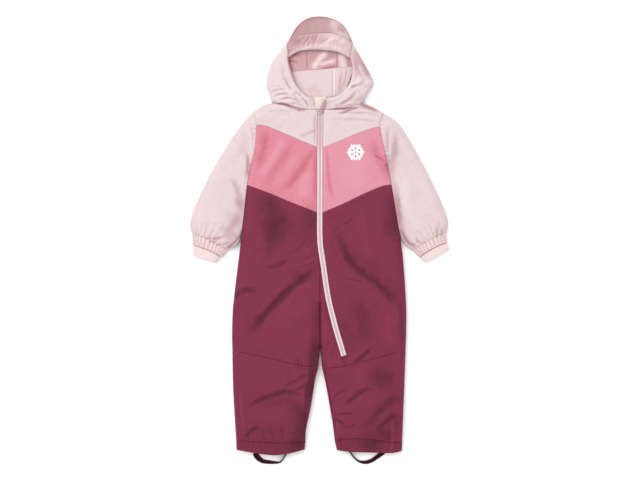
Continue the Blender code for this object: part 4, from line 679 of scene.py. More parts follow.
# ------------------------------------------------------------------ meshes
CLOTH_MAP = "cloth"
# Attribute of the shade and highlight painted into the cloth's colour
PAINTED_SHADING_MAP = "painted_shading"
SEAM_GAP = 0.12
LEAST_WALL = 1.0
SHARP_ANGLE = 1.0
ROD_RINGS, ROD_SIDES, ROD_LEAST = (-1.0, -0.72, 0.0, 0.72, 1.0), 6, 0.12


def fill_mesh(name: str, points: Array, quads: Array, caps: Sequence[Array] = (),
              cloth: Optional[Array] = None, painted_shading: Optional[Array] = None) -> Thing:
    """A smooth-shaded object from arrays, facing outward, its place in its mesh.

    Args:
        name: the piece's name.
        points: corner points in millimetres.
        quads: corner numbers of the four-sided faces.
        caps: corner numbers of faces with more sides.
        cloth: place of each point on the cloth in metres, kept as a UV map.
        hollow: tone of each of the first points, from -1 in full light to 1, kept as an attribute.
    Returns:
        The object, linked to the scene.
    """
    corners = np.concatenate([np.asarray(quads).ravel(), *[np.asarray(cap).ravel() for cap in caps]])
    totals = np.concatenate([np.full(len(quads), 4), [len(cap) for cap in caps]]).astype(int)
    mesh = bpy.data.meshes.new(name)
    mesh.vertices.add(len(points))
    mesh.vertices.foreach_set("co", (np.asarray(points, float) * MM).ravel())
    mesh.loops.add(len(corners))
    mesh.loops.foreach_set("vertex_index", corners.astype(np.int32))
    mesh.polygons.add(len(totals))
    mesh.polygons.foreach_set("loop_start", (np.cumsum(totals) - totals).astype(np.int32))
    if cloth is not None:
        layer = mesh.uv_layers.new(name=CLOTH_MAP)
        layer.data.foreach_set("uv", np.asarray(cloth, float)[corners.astype(int)].ravel())
    if painted_shading is not None:
        depth = np.zeros(len(points))
        depth[:len(painted_shading)] = painted_shading
        mesh.attributes.new(PAINTED_SHADING_MAP, "FLOAT", "POINT").data.foreach_set("value", depth)
    mesh.update(calc_edges=True)
    mesh.validate()
    shape = bmesh.new()
    shape.from_mesh(mesh)
    bmesh.ops.recalc_face_normals(shape, faces=shape.faces)
    shape.to_mesh(mesh)
    shape.free()
    mesh.shade_smooth()
    mesh.set_sharp_from_angle(angle=SHARP_ANGLE)
    thing = bpy.data.objects.new(name, mesh)
    bpy.context.scene.collection.objects.link(thing)
    return thing


def grid_quads(rows: int, columns: int, ring: bool = False, loop: bool = False) -> Array:
    """Corner numbers of a grid's faces; a ring joins its last column to its first, a loop its rows."""
    index = np.arange(rows * columns).reshape(rows, columns)
    if loop:
        index = np.vstack([index, index[:1]])
    if ring:
        index = np.hstack([index, index[:, :1]])
    parts = (index[:-1, :-1], index[1:, :-1], index[1:, 1:], index[:-1, 1:])
    return np.stack([part.ravel() for part in parts], axis=1)


def grid_border(rows: int, columns: int) -> Array:
    """Corner numbers round a grid's edge."""
    index = np.arange(rows * columns).reshape(rows, columns)
    return np.concatenate([index[0, :-1], index[:-1, -1], index[-1, :0:-1], index[:0:-1, 0]])


def patch(top: Array, bottom: Array, left: Array, right: Array, step: float,
          crowding: float = 0.45) -> Array:
    """Places between four edges, rows running from the left edge to the right one.

    A Coons patch: the blend of top and bottom plus the blend of left and right minus the blend of the
    corners, held half a seam gap inside the edges, with its rows and columns closer at the edges.

    Args:
        top: edge from the left edge's start to the right edge's start.
        bottom: edge from the left edge's end to the right edge's end.
        left: edge from the top's start to the bottom's start.
        right: edge from the top's end to the bottom's end.
        step: spacing in millimetres.
        crowding: how much closer the outer rows and columns are, from 0 to 1.
    Returns:
        An array of rows, columns and x, y.
    """
    width = (lengths(top)[-1] + lengths(bottom)[-1]) / 2
    height = (lengths(left)[-1] + lengths(right)[-1]) / 2

    def shares(length: float) -> Array:
        spread = np.linspace(0.0, 1.0, max(4, int(round(length / step))) + 1)
        hold = SEAM_GAP / 2 / length
        return hold + (1 - 2 * hold) * (spread - crowding * np.sin(TURN * spread) / TURN)

    u, v = shares(width), shares(height)
    across, down = u[None, :, None], v[:, None, None]
    ends = (1 - down) * at(top, u)[None] + down * at(bottom, u)[None]
    sides = (1 - across) * at(left, v)[:, None] + across * at(right, v)[:, None]
    upper = (1 - across) * (top[0] + left[0]) / 2 + across * (top[-1] + right[0]) / 2
    lower = (1 - across) * (bottom[0] + left[-1]) / 2 + across * (bottom[-1] + right[-1]) / 2
    return ends + sides - (1 - down) * upper - down * lower


def edge_gap(grid: Array, reach: float) -> Array:
    """Distance from each of a grid's places to its border, measured no further than the reach."""
    border = grid.reshape(-1, 2)[grid_border(*grid.shape[:2])]
    return nearest(grid.reshape(-1, 2), np.vstack([border, border[:1]]), reach)[0]


def wall(name: str, grid: Array, top: Array, under: Union[float, Array],
         painted_shading: Optional[Array] = None) -> Thing:
    """A padded wall: the shaped outer face, a rim down its border and its underside.

    Args:
        name: the piece's name.
        grid: places in plan.
        top: height of the outer face at each place.
        under: height of the underside, one number or one for each place.
        hollow: tone of each place, from -1 to 1.
    Returns:
        The object.
    """
    rows, columns = grid.shape[:2]
    places = grid.reshape(-1, 2)
    rim = grid_border(rows, columns)
    outer = np.column_stack([places, top])
    quads, total = grid_quads(rows, columns), rows * columns
    if np.ndim(under):
        points = np.vstack([outer, np.column_stack([places, under])])
        lower = rim + total
        faces, caps = [quads, quads + total], ()
    else:
        foot = np.column_stack([places[rim], np.full(len(rim), float(under))])
        points = np.vstack([outer, foot])
        lower = total + np.arange(len(rim))
        faces, caps = [quads], (lower,)
    faces.append(np.column_stack([rim, np.roll(rim, -1), np.roll(lower, -1), lower]))
    depth = np.zeros(total) if painted_shading is None else painted_shading
    return fill_mesh(name, points, np.vstack(faces), caps, points[:, :2] * MM, depth)


def rings_to_tube(name: str, outer: Array, inner: Array, cloth: Array,
                  painted_shading: Array) -> Thing:
    """An open tube from rings of equal count: outer face, one end, inner face and the other end.

    Args:
        name: the piece's name.
        outer: rings of the outer face, as rings, points and x, y, z.
        inner: rings of the inner face in the same order.
        cloth: place of each outer point on the cloth, in millimetres.
        hollow: tone of each outer point, from -1 to 1.
    Returns:
        The object.
    """
    rings = np.concatenate([outer, inner[::-1]])
    inner_rows = np.linspace(0, len(outer) - 1, len(inner)).round().astype(int)
    flat = np.concatenate([cloth, cloth[inner_rows][::-1]]).reshape(-1, 2) * MM
    quads = grid_quads(*rings.shape[:2], ring=True, loop=True)
    return fill_mesh(name, rings.reshape(-1, 3), quads, (), flat, painted_shading.ravel())


def swept(name: str, centre: Array, across: Array, lift: Array,
          profile: Array) -> Thing:
    """A closed profile carried along a path: point = centre + across * profile x + up * profile y.

    Args:
        name: the piece's name.
        centre: x, y, z along the path.
        across: unit direction across the path at each point, in plan, times the width there.
        lift: height of the profile at each point.
        profile: closed section, x from -0.5 to 0.5 and y from 0 to 1.
    Returns:
        The object, closed at both ends.
    """
    rows, sides = len(centre), len(profile)
    rings = np.repeat(centre[:, None, :], sides, axis=1)
    rings[..., :2] += across[:, None, :] * profile[None, :, :1]
    rings[..., 2] += lift[:, None] * profile[None, :, 1]
    around = np.concatenate([[0.0], np.cumsum(np.hypot(*np.diff(profile, axis=0).T))])
    width = np.hypot(*across.T).mean()
    cloth = np.stack(np.meshgrid(around * width, lengths(centre)), axis=-1).reshape(-1, 2) * MM
    quads = grid_quads(rows, sides, ring=True)
    caps = (np.arange(sides), (rows - 1) * sides + np.arange(sides))
    return fill_mesh(name, rings.reshape(-1, 3), quads, caps, cloth)


def scattered(name: str, points: Array, quads: Array, caps: Array, places: Array,
              frames: Array) -> Thing:
    """Many copies of one small shape as one mesh: each point is place + frame * point.

    Args:
        name: the piece's name.
        points: the shape's points.
        quads: its four-sided faces.
        caps: its end faces, all of one count.
        places: where each copy lies.
        frames: three unit columns for each copy, for the shape's own x, y and z.
    Returns:
        The object.
    """
    copies = places[:, None, :] + np.einsum("nij,pj->npi", frames, points)
    shift = (np.arange(len(places)) * len(points))[:, None, None]
    faces = (quads[None] + shift).reshape(-1, 4)
    ends = (caps[None] + shift).reshape(-1, caps.shape[1])
    return fill_mesh(name, copies.reshape(-1, 3), faces, list(ends))


def capsule(length: float, radius: float) -> tuple[Array, Array, Array]:
    """A short rod with drawn-in ends along x: rings of radius * root(1 - share^4), never under ROD_LEAST.

    Args:
        length: end to end.
        radius: at the middle.
    Returns:
        Points, quads and the two end faces.
    """
    shares = np.array(ROD_RINGS)
    turns = np.linspace(0.0, TURN, ROD_SIDES, endpoint=False)
    girth = radius * np.sqrt(np.maximum(1.0 - shares**4, ROD_LEAST))
    rings = np.stack([np.broadcast_to(shares[:, None] * length / 2, (len(shares), ROD_SIDES)),
                      girth[:, None] * np.cos(turns), girth[:, None] * np.sin(turns)], axis=-1)
    first = np.arange(ROD_SIDES)
    caps = np.array([first, (len(shares) - 1) * ROD_SIDES + first])
    return rings.reshape(-1, 3), grid_quads(len(shares), ROD_SIDES, ring=True), caps


def frames_along(line: Array) -> Array:
    """Unit frames along a line of x, y, z: along it, level across it, and up from both."""
    along = np.gradient(line, axis=0)
    along /= np.linalg.norm(along, axis=1)[:, None]
    across = np.column_stack([-along[:, 1], along[:, 0], np.zeros(len(line))])
    across /= np.linalg.norm(across, axis=1)[:, None]
    return np.stack([along, across, np.cross(along, across)], axis=-1)


# ------------------------------------------------------------------ shader maths
def shade(colour: Colour, share: float) -> Colour:
    """A colour made darker or lighter by a share."""
    return tuple(part * share for part in colour)


def shader_math(operation: str, meaning: str, swapped: bool = False) -> Callable[..., "Value"]:
    """A method of Value that adds one Math node of this value and the others; swapped puts it last."""
    def method(self: "Value", *others: Union["Value", float]) -> "Value":
        inputs = (*others, self) if swapped else (self, *others)
        node = self.paint.node("ShaderNodeMath", {"operation": operation}, dict(enumerate(inputs)))
        return Value(self.paint, node.outputs[0])

    method.__doc__ = meaning
    return method


class Value:
    """A number in a material; using it in an expression adds its Math nodes."""

    def __init__(self, paint: "Paint", socket: Socket) -> None:
        """Wrap a socket of a paint's tree."""
        self.paint = paint
        self.socket = socket

    __add__ = shader_math("ADD", "Sum.")
    __sub__ = shader_math("SUBTRACT", "Difference.")
    __rsub__ = shader_math("SUBTRACT", "Number minus this value.", swapped=True)
    __mul__ = shader_math("MULTIPLY", "Product.")
    __truediv__ = shader_math("DIVIDE", "Quotient.")
    abs = shader_math("ABSOLUTE", "Size without sign.")
    sine = shader_math("SINE", "Sine of an angle in radians.")
    cosine = shader_math("COSINE", "Cosine of an angle in radians.")
    root = shader_math("SQRT", "Square root.")
    wrapped = shader_math("FLOORED_MODULO", "Remainder from 0 to the span given.")
    angle = shader_math("ARCTAN2", "Angle of the point whose y is this value and whose x is given.")
    least = shader_math("MINIMUM", "The smaller one.")
    most = shader_math("MAXIMUM", "The larger one.")

    def ramp(self, low: float, high: float) -> "Value":
        """0 below low, 1 above high, straight between; low may be the larger number."""
        settings = {"interpolation_type": "LINEAR", "clamp": True}
        inputs = {"Value": self, "From Min": low, "From Max": high, "To Min": 0.0, "To Max": 1.0}
        return Value(self.paint, self.paint.node("ShaderNodeMapRange", settings, inputs).outputs[0])


class Paint:
    """A material under construction: its Principled shader and the nodes that feed it."""

    NOISE_ROUGHNESS = 0.55

    def __init__(self, name: str, shown: Colour) -> None:
        """Start a material with one Principled shader.

        Args:
            name: the material's name.
            shown: its plain colour in the viewport.
        """
        self.material = bpy.data.materials.new(name)
        self.material.use_nodes = True
        self.material.diffuse_color = (*shown, 1.0)
        self.tree = self.material.node_tree
        self.shader = self.tree.nodes["Principled BSDF"]

    def node(self, kind: str, settings: dict, inputs: dict) -> bpy.types.Node:
        """Add a node.

        Args:
            kind: the node's type.
            settings: its own settings, set before its sockets.
            inputs: a value, a Value or a socket for each socket by name or number.
        Returns:
            The node.
        """
        made = self.tree.nodes.new(kind)
        for key, setting in settings.items():
            setattr(made, key, setting)
        for key, given in inputs.items():
            self.feed(made.inputs[key], given)
        return made

    def feed(self, socket: Socket, given: Union[Value, Socket, float, tuple]) -> None:
        """Link or set one socket."""
        if isinstance(given, Value):
            given = given.socket
        if isinstance(given, Socket):
            self.tree.links.new(given, socket)
        else:
            socket.default_value = given

    def cloth_place(self) -> tuple[Value, Value]:
        """Place on the cloth in millimetres, across and along."""
        node = self.node("ShaderNodeUVMap", {"uv_map": CLOTH_MAP}, {})
        parts = self.node("ShaderNodeSeparateXYZ", {}, {0: node.outputs[0]})
        return Value(self, parts.outputs[0]) / MM, Value(self, parts.outputs[1]) / MM

    def painted_shading(self) -> Value:
        """How the place lies, from -1 on a lit ridge to 1 deep in a fold."""
        node = self.node("ShaderNodeAttribute", {"attribute_name": PAINTED_SHADING_MAP}, {})
        return Value(self, node.outputs["Fac"])

    def part_place(self) -> tuple[Value, Value, Value]:
        """Place on the suit in millimetres."""
        node = self.node("ShaderNodeTexCoord", {}, {})
        parts = self.node("ShaderNodeSeparateXYZ", {}, {0: node.outputs["Object"]})
        return tuple(Value(self, parts.outputs[axis]) / MM for axis in range(3))

    def noise(self, pitch: float, detail: float = 2.0, stretch: Sequence[float] = (1.0, 1.0, 1.0),
              shift: float = 0.0) -> Value:
        """Cloudy noise from 0 to 1.

        Args:
            pitch: size of its lumps in millimetres.
            detail: how many finer layers it has.
            stretch: how much longer the lumps are along each axis.
            shift: moves the pattern, so that two noises differ.
        Returns:
            The noise.
        """
        place = self.node("ShaderNodeTexCoord", {}, {}).outputs["Object"]
        scale = tuple(1.0 / (pitch * MM * part) for part in stretch)
        moved = {"Vector": place, "Location": (shift,) * 3, "Scale": scale}
        mapped = self.node("ShaderNodeMapping", {}, moved).outputs[0]
        sockets = {"Vector": mapped, "Scale": 1.0, "Detail": detail, "Roughness": self.NOISE_ROUGHNESS}
        return Value(self, self.node("ShaderNodeTexNoise", {}, sockets).outputs[0])

    def blend(self, share: Union[Value, float], first: Tint, second: Tint) -> Socket:
        """One colour from two: the first where the share is 0 and the second where it is 1."""
        sockets = {0: share, 6: self.four(first), 7: self.four(second)}
        return self.node("ShaderNodeMix", {"data_type": "RGBA"}, sockets).outputs[2]

    def varied(self, share: Value, low: float, high: float, colour: Colour, dark: float,
               light: float) -> Socket:
        """A colour times one factor where the share is low and times another where it is high."""
        return self.blend(share.ramp(low, high), shade(colour, dark), shade(colour, light))

    @staticmethod
    def four(colour: Tint) -> Tint:
        """A colour with its fourth number, or the socket as it is."""
        return (*colour, 1.0) if isinstance(colour, tuple) and len(colour) == 3 else colour

    def bumped(self, height: Value, depth: float) -> Socket:
        """Normal of a surface raised by a height from 0 to 1, its depth in millimetres."""
        return self.node("ShaderNodeBump", {}, {"Height": height, "Distance": depth * MM}).outputs[0]

    def done(self, **sockets: Union[Value, Socket, float, tuple]) -> Material:
        """Feed the shader's sockets, with underscores for spaces, and return the material."""
        for key, given in sockets.items():
            self.feed(self.shader.inputs[key.replace("_", " ")], self.four(given))
        return self.material


@dataclass(frozen=True)
class Finish:
    """A finish of one colour; each kind makes its own material."""

    colour: Colour

    # Where a noise is taken as low and as high, and no stretch
    CLOUDY, EVEN = (0.3, 0.7), (1.0, 1.0, 1.0)


@dataclass(frozen=True)
class WovenShell(Finish):
    """Plain-woven windproof shell: crossing threads, faint crinkle and a slight sheen."""

    thread: float = 0.62
    thread_depth: float = 0.05
    crinkle_depth: float = 0.16
    roughness: float = 0.56
    sheen: float = 0.18
    mottle: float = 0.05
    gloss: float = 0.28
    # Colours painted in: deep for painted shade in folds and sunken spots, painted_highlight on ridges
    deep: Colour = (0.35, 0.19, 0.205)
    painted_highlight: Colour = (0.66, 0.565, 0.56)

    # Noises: pitch, detail, stretch and shift
    SLUBS = ((1.7, 1.0, (7.0, 1.0, 1.0)), (1.7, 1.0, (1.0, 7.0, 1.0), 11.0))
    CLOUD, CRINKLE, WORN = (34.0, 2.0), (7.0, 3.0, (1.0, 1.6, 1.0), 5.0), (9.0, 1.0, Finish.EVEN, 3.0)
    SLUB_SHARE, CLOUD_SHARE = 0.36, 0.28
    WORN_ROUGHNESS, SHEEN_ROUGHNESS = 0.08, 0.45

    def base(self, paint: Paint) -> Socket:
        """Colour: slubs along both threads, broad clouds, and a little dark between the threads."""
        across, along = (paint.noise(*slub) for slub in self.SLUBS)
        cloud = paint.noise(*self.CLOUD)
        share = (across + along) * self.SLUB_SHARE + cloud * self.CLOUD_SHARE
        cloth = paint.varied(share, *self.CLOUDY, self.colour, 1.0 - self.mottle, 1.0 + self.mottle)
        # Painted shade toward deep and painted highlight, by the painted shading attribute
        tone = paint.painted_shading()
        cloth = paint.blend(tone.ramp(0.0, 1.0), cloth, self.deep)
        return paint.blend(tone.ramp(0.0, -1.0), cloth, self.painted_highlight)

    def threads(self, paint: Paint) -> Value:
        """Weave height: 0.5 + 0.5 * cos(turn * u / thread) * cos(turn * v / thread)."""
        across, along = paint.cloth_place()
        rate = TURN / self.thread
        return (across * rate).cosine() * (along * rate).cosine() * 0.5 + 0.5

    def height(self, paint: Paint) -> Value:
        """Weave and crinkle as one height from 0 to 1."""
        crinkle = paint.noise(*self.CRINKLE)
        share = self.thread_depth / (self.thread_depth + self.crinkle_depth)
        return self.threads(paint) * share + crinkle * (1.0 - share)

    def material(self, name: str) -> Material:
        """Make the material."""
        paint = Paint(name, self.colour)
        least = self.roughness - self.WORN_ROUGHNESS / 2
        rough = paint.noise(*self.WORN) * self.WORN_ROUGHNESS + least
        return paint.done(Base_Color=self.base(paint), Roughness=rough, Sheen_Weight=self.sheen,
                          Sheen_Roughness=self.SHEEN_ROUGHNESS, Specular_IOR_Level=self.gloss,
                          Normal=paint.bumped(self.height(paint), self.thread_depth + self.crinkle_depth))


@dataclass(frozen=True)
class PrintedShell(WovenShell):
    """Woven shell with a small white print of six barbed arms, a ring of dots and a hexagon between them."""

    centre: tuple[float, float] = (72.8, 179.4)
    arm: tuple[float, float] = (4.6, 17.5)
    arm_width: float = 1.9
    barb_root: float = 8.4
    barb_width: float = 1.15
    barb_slope: float = 0.7
    barb_reach: float = 6.2
    hexagon: float = 3.2
    hexagon_width: float = 1.0
    dot_ring: float = 12.6
    dot: float = 1.6
    soft_edge: float = 0.12
    front: tuple[float, float] = (10.0, 10.4)
    ink: Colour = (0.93, 0.91, 0.92)

    def mask(self, paint: Paint) -> Value:
        """Where the ink lies: a sixth of a turn is folded onto itself, then arm, barbs and dots are drawn."""
        x, y, z = paint.part_place()
        x, y = x - self.centre[0], y - self.centre[1]
        reach = (x * x + y * y).root()
        angle = ((y.angle(x) + TURN / 12 + TURN).wrapped(TURN / 6) - TURN / 12).abs()
        along, side = reach * angle.cosine(), reach * angle.sine()
        arm = (side - self.arm_width).most(along - self.arm[1]).most(self.arm[0] - along)
        barb = (along - side - self.barb_root).abs() * self.barb_slope - self.barb_width
        barb = barb.most(side - self.barb_reach)
        hexagon = (along - self.hexagon).abs() - self.hexagon_width
        dot_x, dot_y = along - self.dot_ring * np.cos(TURN / 12), side - self.dot_ring * np.sin(TURN / 12)
        dot = (dot_x * dot_x + dot_y * dot_y).root() - self.dot
        nearest_part = arm.least(barb).least(hexagon).least(dot)
        above = z.ramp(*self.front)
        return nearest_part.ramp(self.soft_edge, -self.soft_edge) * above

    def base(self, paint: Paint) -> Socket:
        """Shell colour under the ink."""
        return paint.blend(self.mask(paint), super().base(paint), self.ink)


@dataclass(frozen=True)
class BrushedLining(Finish):
    """Soft brushed lining: short nap, faint pile clouds and no gloss."""

    nap_depth: float = 0.25
    roughness: float = 0.9
    sheen: float = 0.35
    sheen_roughness: float = 0.6
    gloss: float = 0.2

    # Noises: pitch, detail, stretch and shift
    NAP, CLOUD = (0.9, 3.0, (1.0, 1.8, 1.0)), (14.0, 2.0, Finish.EVEN, 7.0)
    NAP_SHARE, CLOUD_SHARE = 0.45, 0.55
    DARK, LIGHT = 0.94, 1.05

    def material(self, name: str) -> Material:
        """Make the material."""
        paint = Paint(name, self.colour)
        nap, cloud = paint.noise(*self.NAP), paint.noise(*self.CLOUD)
        share = nap * self.NAP_SHARE + cloud * self.CLOUD_SHARE
        colour = paint.varied(share, *self.CLOUDY, self.colour, self.DARK, self.LIGHT)
        return paint.done(Base_Color=colour, Roughness=self.roughness, Sheen_Weight=self.sheen,
                          Sheen_Roughness=self.sheen_roughness, Specular_IOR_Level=self.gloss,
                          Normal=paint.bumped(nap, self.nap_depth))


@dataclass(frozen=True)
class RibKnit(Finish):
    """Fine rib knit: V-shaped loops along each rib."""

    loop: float = 1.1
    depth: float = 0.16
    roughness: float = 0.88
    sheen: float = 0.25
    sheen_roughness: float = 0.6
    gloss: float = 0.2

    # The soft noise's pitch and detail, its share and the loops', and the heights taken as low and high
    SOFT, SOFT_SHARE, LOOP_SHARE = (5.0, 2.0), 0.4, 0.6
    LOW, HIGH, DARK, LIGHT = 0.15, 0.75, 0.9, 1.03

    def material(self, name: str) -> Material:
        """Make the material: loop height is |sin(pi (v +- slant |u|) / loop)| within each wale."""
        paint = Paint(name, self.colour)
        across, along = paint.cloth_place()
        wale = (across.wrapped(self.loop) / self.loop - 0.5).abs()
        loops = ((along / self.loop + wale) * TURN).sine() * 0.5 + 0.5
        height = loops * 0.5 + (wale * 2.0) * -0.5 + 0.5
        share = height * self.LOOP_SHARE + paint.noise(*self.SOFT) * self.SOFT_SHARE
        colour = paint.varied(share, self.LOW, self.HIGH, self.colour, self.DARK, self.LIGHT)
        return paint.done(Base_Color=colour, Roughness=self.roughness, Sheen_Weight=self.sheen,
                          Sheen_Roughness=self.sheen_roughness, Specular_IOR_Level=self.gloss,
                          Normal=paint.bumped(height, self.depth))


@dataclass(frozen=True)
class NarrowWeave(Finish):
    """Woven tape or elastic: cords along its length crossed by fine weft."""

    cord: float = 1.0
    weft: float = 0.5
    depth: float = 0.12
    roughness: float = 0.7
    gloss: float = 0.3
    blush: Optional[Colour] = None
    blush_y: tuple[float, float] = (175.0, 193.0)

    CORD_SHARE, WEFT_SHARE = 0.6, 0.4
    LOW, HIGH, DARK, LIGHT = 0.0, 0.9, 0.86, 1.05

    def material(self, name: str) -> Material:
        """Make the material: height is 0.6 |cos(pi u / cord)| + 0.4 (0.5 + 0.5 cos(turn v / weft))."""
        paint = Paint(name, self.colour)
        across, along = paint.cloth_place()
        cords = (across * (np.pi / self.cord)).cosine().abs()
        weft = (along * (TURN / self.weft)).cosine() * 0.5 + 0.5
        height = cords * self.CORD_SHARE + weft * self.WEFT_SHARE
        colour = paint.varied(height, self.LOW, self.HIGH, self.colour, self.DARK, self.LIGHT)
        if self.blush:
            above = paint.part_place()[1].ramp(*self.blush_y)
            colour = paint.blend(above, colour, self.blush)
        return paint.done(Base_Color=colour, Roughness=self.roughness, Sheen_Weight=self.gloss / 2,
                          Specular_IOR_Level=self.gloss, Normal=paint.bumped(height, self.depth))


@dataclass(frozen=True)
class Lacquer(Finish):
    """Satin lacquer over cast metal: slight orange peel and rubbed high spots."""

    roughness: float = 0.32
    metallic: float = 0.25
    coat: float = 0.3
    coat_roughness: float = 0.15
    peel_depth: float = 0.02

    # Noises: pitch, detail, stretch and shift
    PEEL, WEAR = (0.7, 2.0), (2.6, 3.0, Finish.EVEN, 9.0)
    PEEL_ROUGHNESS, WORN_FROM, WORN_TO, WORN_SHARE, WORN_LIGHT = 0.12, 0.58, 0.72, 0.35, 1.35

    def material(self, name: str) -> Material:
        """Make the material."""
        paint = Paint(name, self.colour)
        peel = paint.noise(*self.PEEL)
        wear = paint.noise(*self.WEAR).ramp(self.WORN_FROM, self.WORN_TO)
        colour = paint.blend(wear * self.WORN_SHARE, self.colour, shade(self.colour, self.WORN_LIGHT))
        rough = peel * self.PEEL_ROUGHNESS + (self.roughness - self.PEEL_ROUGHNESS / 2)
        return paint.done(Base_Color=colour, Roughness=rough, Metallic=self.metallic, Coat_Weight=self.coat,
                          Coat_Roughness=self.coat_roughness, Normal=paint.bumped(peel, self.peel_depth))


@dataclass(frozen=True)
class TwistedThread(Finish):
    """Sewing thread: fine slanting ply."""

    ply: float = 0.35
    depth: float = 0.05
    roughness: float = 0.6
    gloss: float = 0.4

    # The fuzz's pitch and detail, both shares, and the heights taken as low and high
    FUZZ, FUZZ_SHARE, PLY_SHARE = (6.0, 1.0), 0.5, 0.5
    LOW, HIGH, DARK, LIGHT = 0.1, 0.9, 0.88, 1.06

    def material(self, name: str) -> Material:
        """Make the material: ply height is 0.5 + 0.5 sin(turn (x + y + z) / ply)."""
        paint = Paint(name, self.colour)
        x, y, z = paint.part_place()
        ply = ((x + y + z) * (TURN / self.ply)).sine() * 0.5 + 0.5
        share = ply * self.PLY_SHARE + paint.noise(*self.FUZZ) * self.FUZZ_SHARE
        colour = paint.varied(share, self.LOW, self.HIGH, self.colour, self.DARK, self.LIGHT)
        return paint.done(Base_Color=colour, Roughness=self.roughness, Specular_IOR_Level=self.gloss,
                          Normal=paint.bumped(ply, self.depth))


@dataclass(frozen=True)
class NylonCoil(Finish):
    """Dyed nylon zip coil: smooth with a soft gloss."""

    roughness: float = 0.32
    gloss: float = 0.5
    depth: float = 0.02

    # The cloud's pitch and detail, and what it adds to the roughness
    CLOUD, CLOUD_ROUGHNESS = (3.0, 1.0), 0.1
    DARK, LIGHT = 0.94, 1.05

    def material(self, name: str) -> Material:
        """Make the material."""
        paint = Paint(name, self.colour)
        cloud = paint.noise(*self.CLOUD)
        colour = paint.varied(cloud, *self.CLOUDY, self.colour, self.DARK, self.LIGHT)
        return paint.done(Base_Color=colour, Roughness=cloud * self.CLOUD_ROUGHNESS + self.roughness,
                          Specular_IOR_Level=self.gloss, Normal=paint.bumped(cloud, self.depth))


class Shade(Enum):
    """The suit's finishes."""

    LIGHT_PINK = WovenShell((0.535, 0.432, 0.435), roughness=0.5)
    # The light pink shell, darkened: painted shade of the brim
    BRIM_PINK_PAINTED_SHADE = WovenShell((0.49, 0.345, 0.352), roughness=0.5, deep=(0.34, 0.17, 0.18))
    # The light pink shell, darkened further: painted shade of the crown, turned away from the light
    CROWN_PINK_PAINTED_SHADE = WovenShell((0.345, 0.20, 0.203), roughness=0.5, deep=(0.25, 0.095, 0.10),
                            painted_highlight=(0.50, 0.36, 0.36))
    MID_PINK = WovenShell((0.505, 0.163, 0.214), roughness=0.5, deep=(0.38, 0.075, 0.115),
                          painted_highlight=(0.56, 0.24, 0.30))
    PRINTED_PINK = PrintedShell((0.52, 0.198, 0.25), roughness=0.5, deep=(0.38, 0.075, 0.115),
                                painted_highlight=(0.56, 0.24, 0.30))
    BURGUNDY = WovenShell((0.155, 0.019, 0.044), mottle=0.1, sheen=0.02, roughness=0.55, gloss=0.12,
                          deep=(0.083, 0.011, 0.024), painted_highlight=(0.20, 0.026, 0.058))
    CUFF_PINK = WovenShell((0.60, 0.455, 0.45), mottle=0.04, roughness=0.55)
    # Lining colour: partly its own dusty pink and partly painted shade of the brim over it
    DUSTY_LINING = WovenShell((0.43, 0.25, 0.257), sheen=0.08, roughness=0.55, deep=(0.26, 0.05, 0.055),
                              painted_highlight=(0.60, 0.47, 0.47))
    PALE_LINING = WovenShell((0.56, 0.44, 0.443), sheen=0.3, roughness=0.8, crinkle_depth=0.1,
                             deep=(0.30, 0.10, 0.11))
    RIB = RibKnit((0.66, 0.53, 0.52))
    TAPE = NarrowWeave((0.60, 0.50, 0.52), cord=0.9, weft=0.55, depth=0.06, blush=(0.51, 0.37, 0.39))
    CHAIN_TAPE = NarrowWeave((0.54, 0.355, 0.415), cord=0.7, weft=0.8, depth=0.06)
    COIL = NylonCoil((0.57, 0.385, 0.44))
    METAL = Lacquer((0.36, 0.17, 0.22))
    SLIDER_METAL = Lacquer((0.48, 0.31, 0.35))
    GUARD = BrushedLining((0.60, 0.50, 0.465), nap_depth=0.12)
    ELASTIC = NarrowWeave((0.034, 0.005, 0.012), cord=1.1, weft=0.7, depth=0.15, roughness=0.7, gloss=0.05)
    PINK_THREAD = TwistedThread((0.60, 0.47, 0.48))
    MID_THREAD = TwistedThread((0.55, 0.19, 0.26))
    DARK_THREAD = TwistedThread((0.17, 0.031, 0.062))


def dress(thing: Thing, finish: Shade, nodes: Sequence[str] = ()) -> None:
    """Give a piece its finish, body, slot and the nodes that it stands for.

    Args:
        thing: the piece.
        finish: its finish.
        slot: the record's material slot.
        nodes: nodes that it replaces.
    """
    thing.data.materials.clear()
    thing.data.materials.append(finish.value.material(f"{thing.name}_{finish.name.lower()}"))
    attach(thing, BODY)
    if nodes:
        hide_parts(*nodes)
    log.info("%s: %d faces", thing.name, len(thing.data.polygons))


def declare_cloth(grid: Array,
                  layers: int = 1, fullness: float = 1.0) -> None:
    """State a panel's cut as the cloth it was sewn from.

    Args:
        thing: the finished piece.
        grid: its places in plan.
        rests_on: what it lies on.
        held: how it is held.
        layers: 2 for a tube, whose cut goes all round.
        fullness: how much longer the cut is than the gathered piece.
    """
    steps_across = np.hypot(*np.moveaxis(np.diff(grid, axis=1), 2, 0)).sum(1).max()
    steps_down = np.hypot(*np.moveaxis(np.diff(grid, axis=0), 2, 0)).sum(0).max()
    along, down = np.diff(grid, axis=1)[:-1], np.diff(grid, axis=0)[:, :-1]
    area = np.abs(along[..., 0] * down[..., 1] - along[..., 1] * down[..., 0]).sum()
    width, length = steps_across * layers * fullness * MM, steps_down * MM
    area = min(area * layers * fullness * MM**2, width * length)


def panel(name: str, grid: Array, top: Array, under: Union[float, Array], finish: Shade,
          tone: Optional[Array] = None,
          fullness: float = 1.0) -> None:
    """A padded wall as the named node's cloth, dressed and with its cut declared.

    Args:
        name: the node and slot that it replaces.
        grid: places in plan.
        top: height of the outer face at each place.
        under: height of the underside, one number or one for each place.
        finish: its shell.
        rests_on: what it lies on.
        tone: tone of each place, from -1 to 1.
        held: how it is held.
        fullness: how much longer the cut is than the finished piece.
    """
    thing = wall(f"{name}_cloth", grid, top, under, tone)
    dress(thing, finish, [name])
    declare_cloth(grid, 1, fullness)


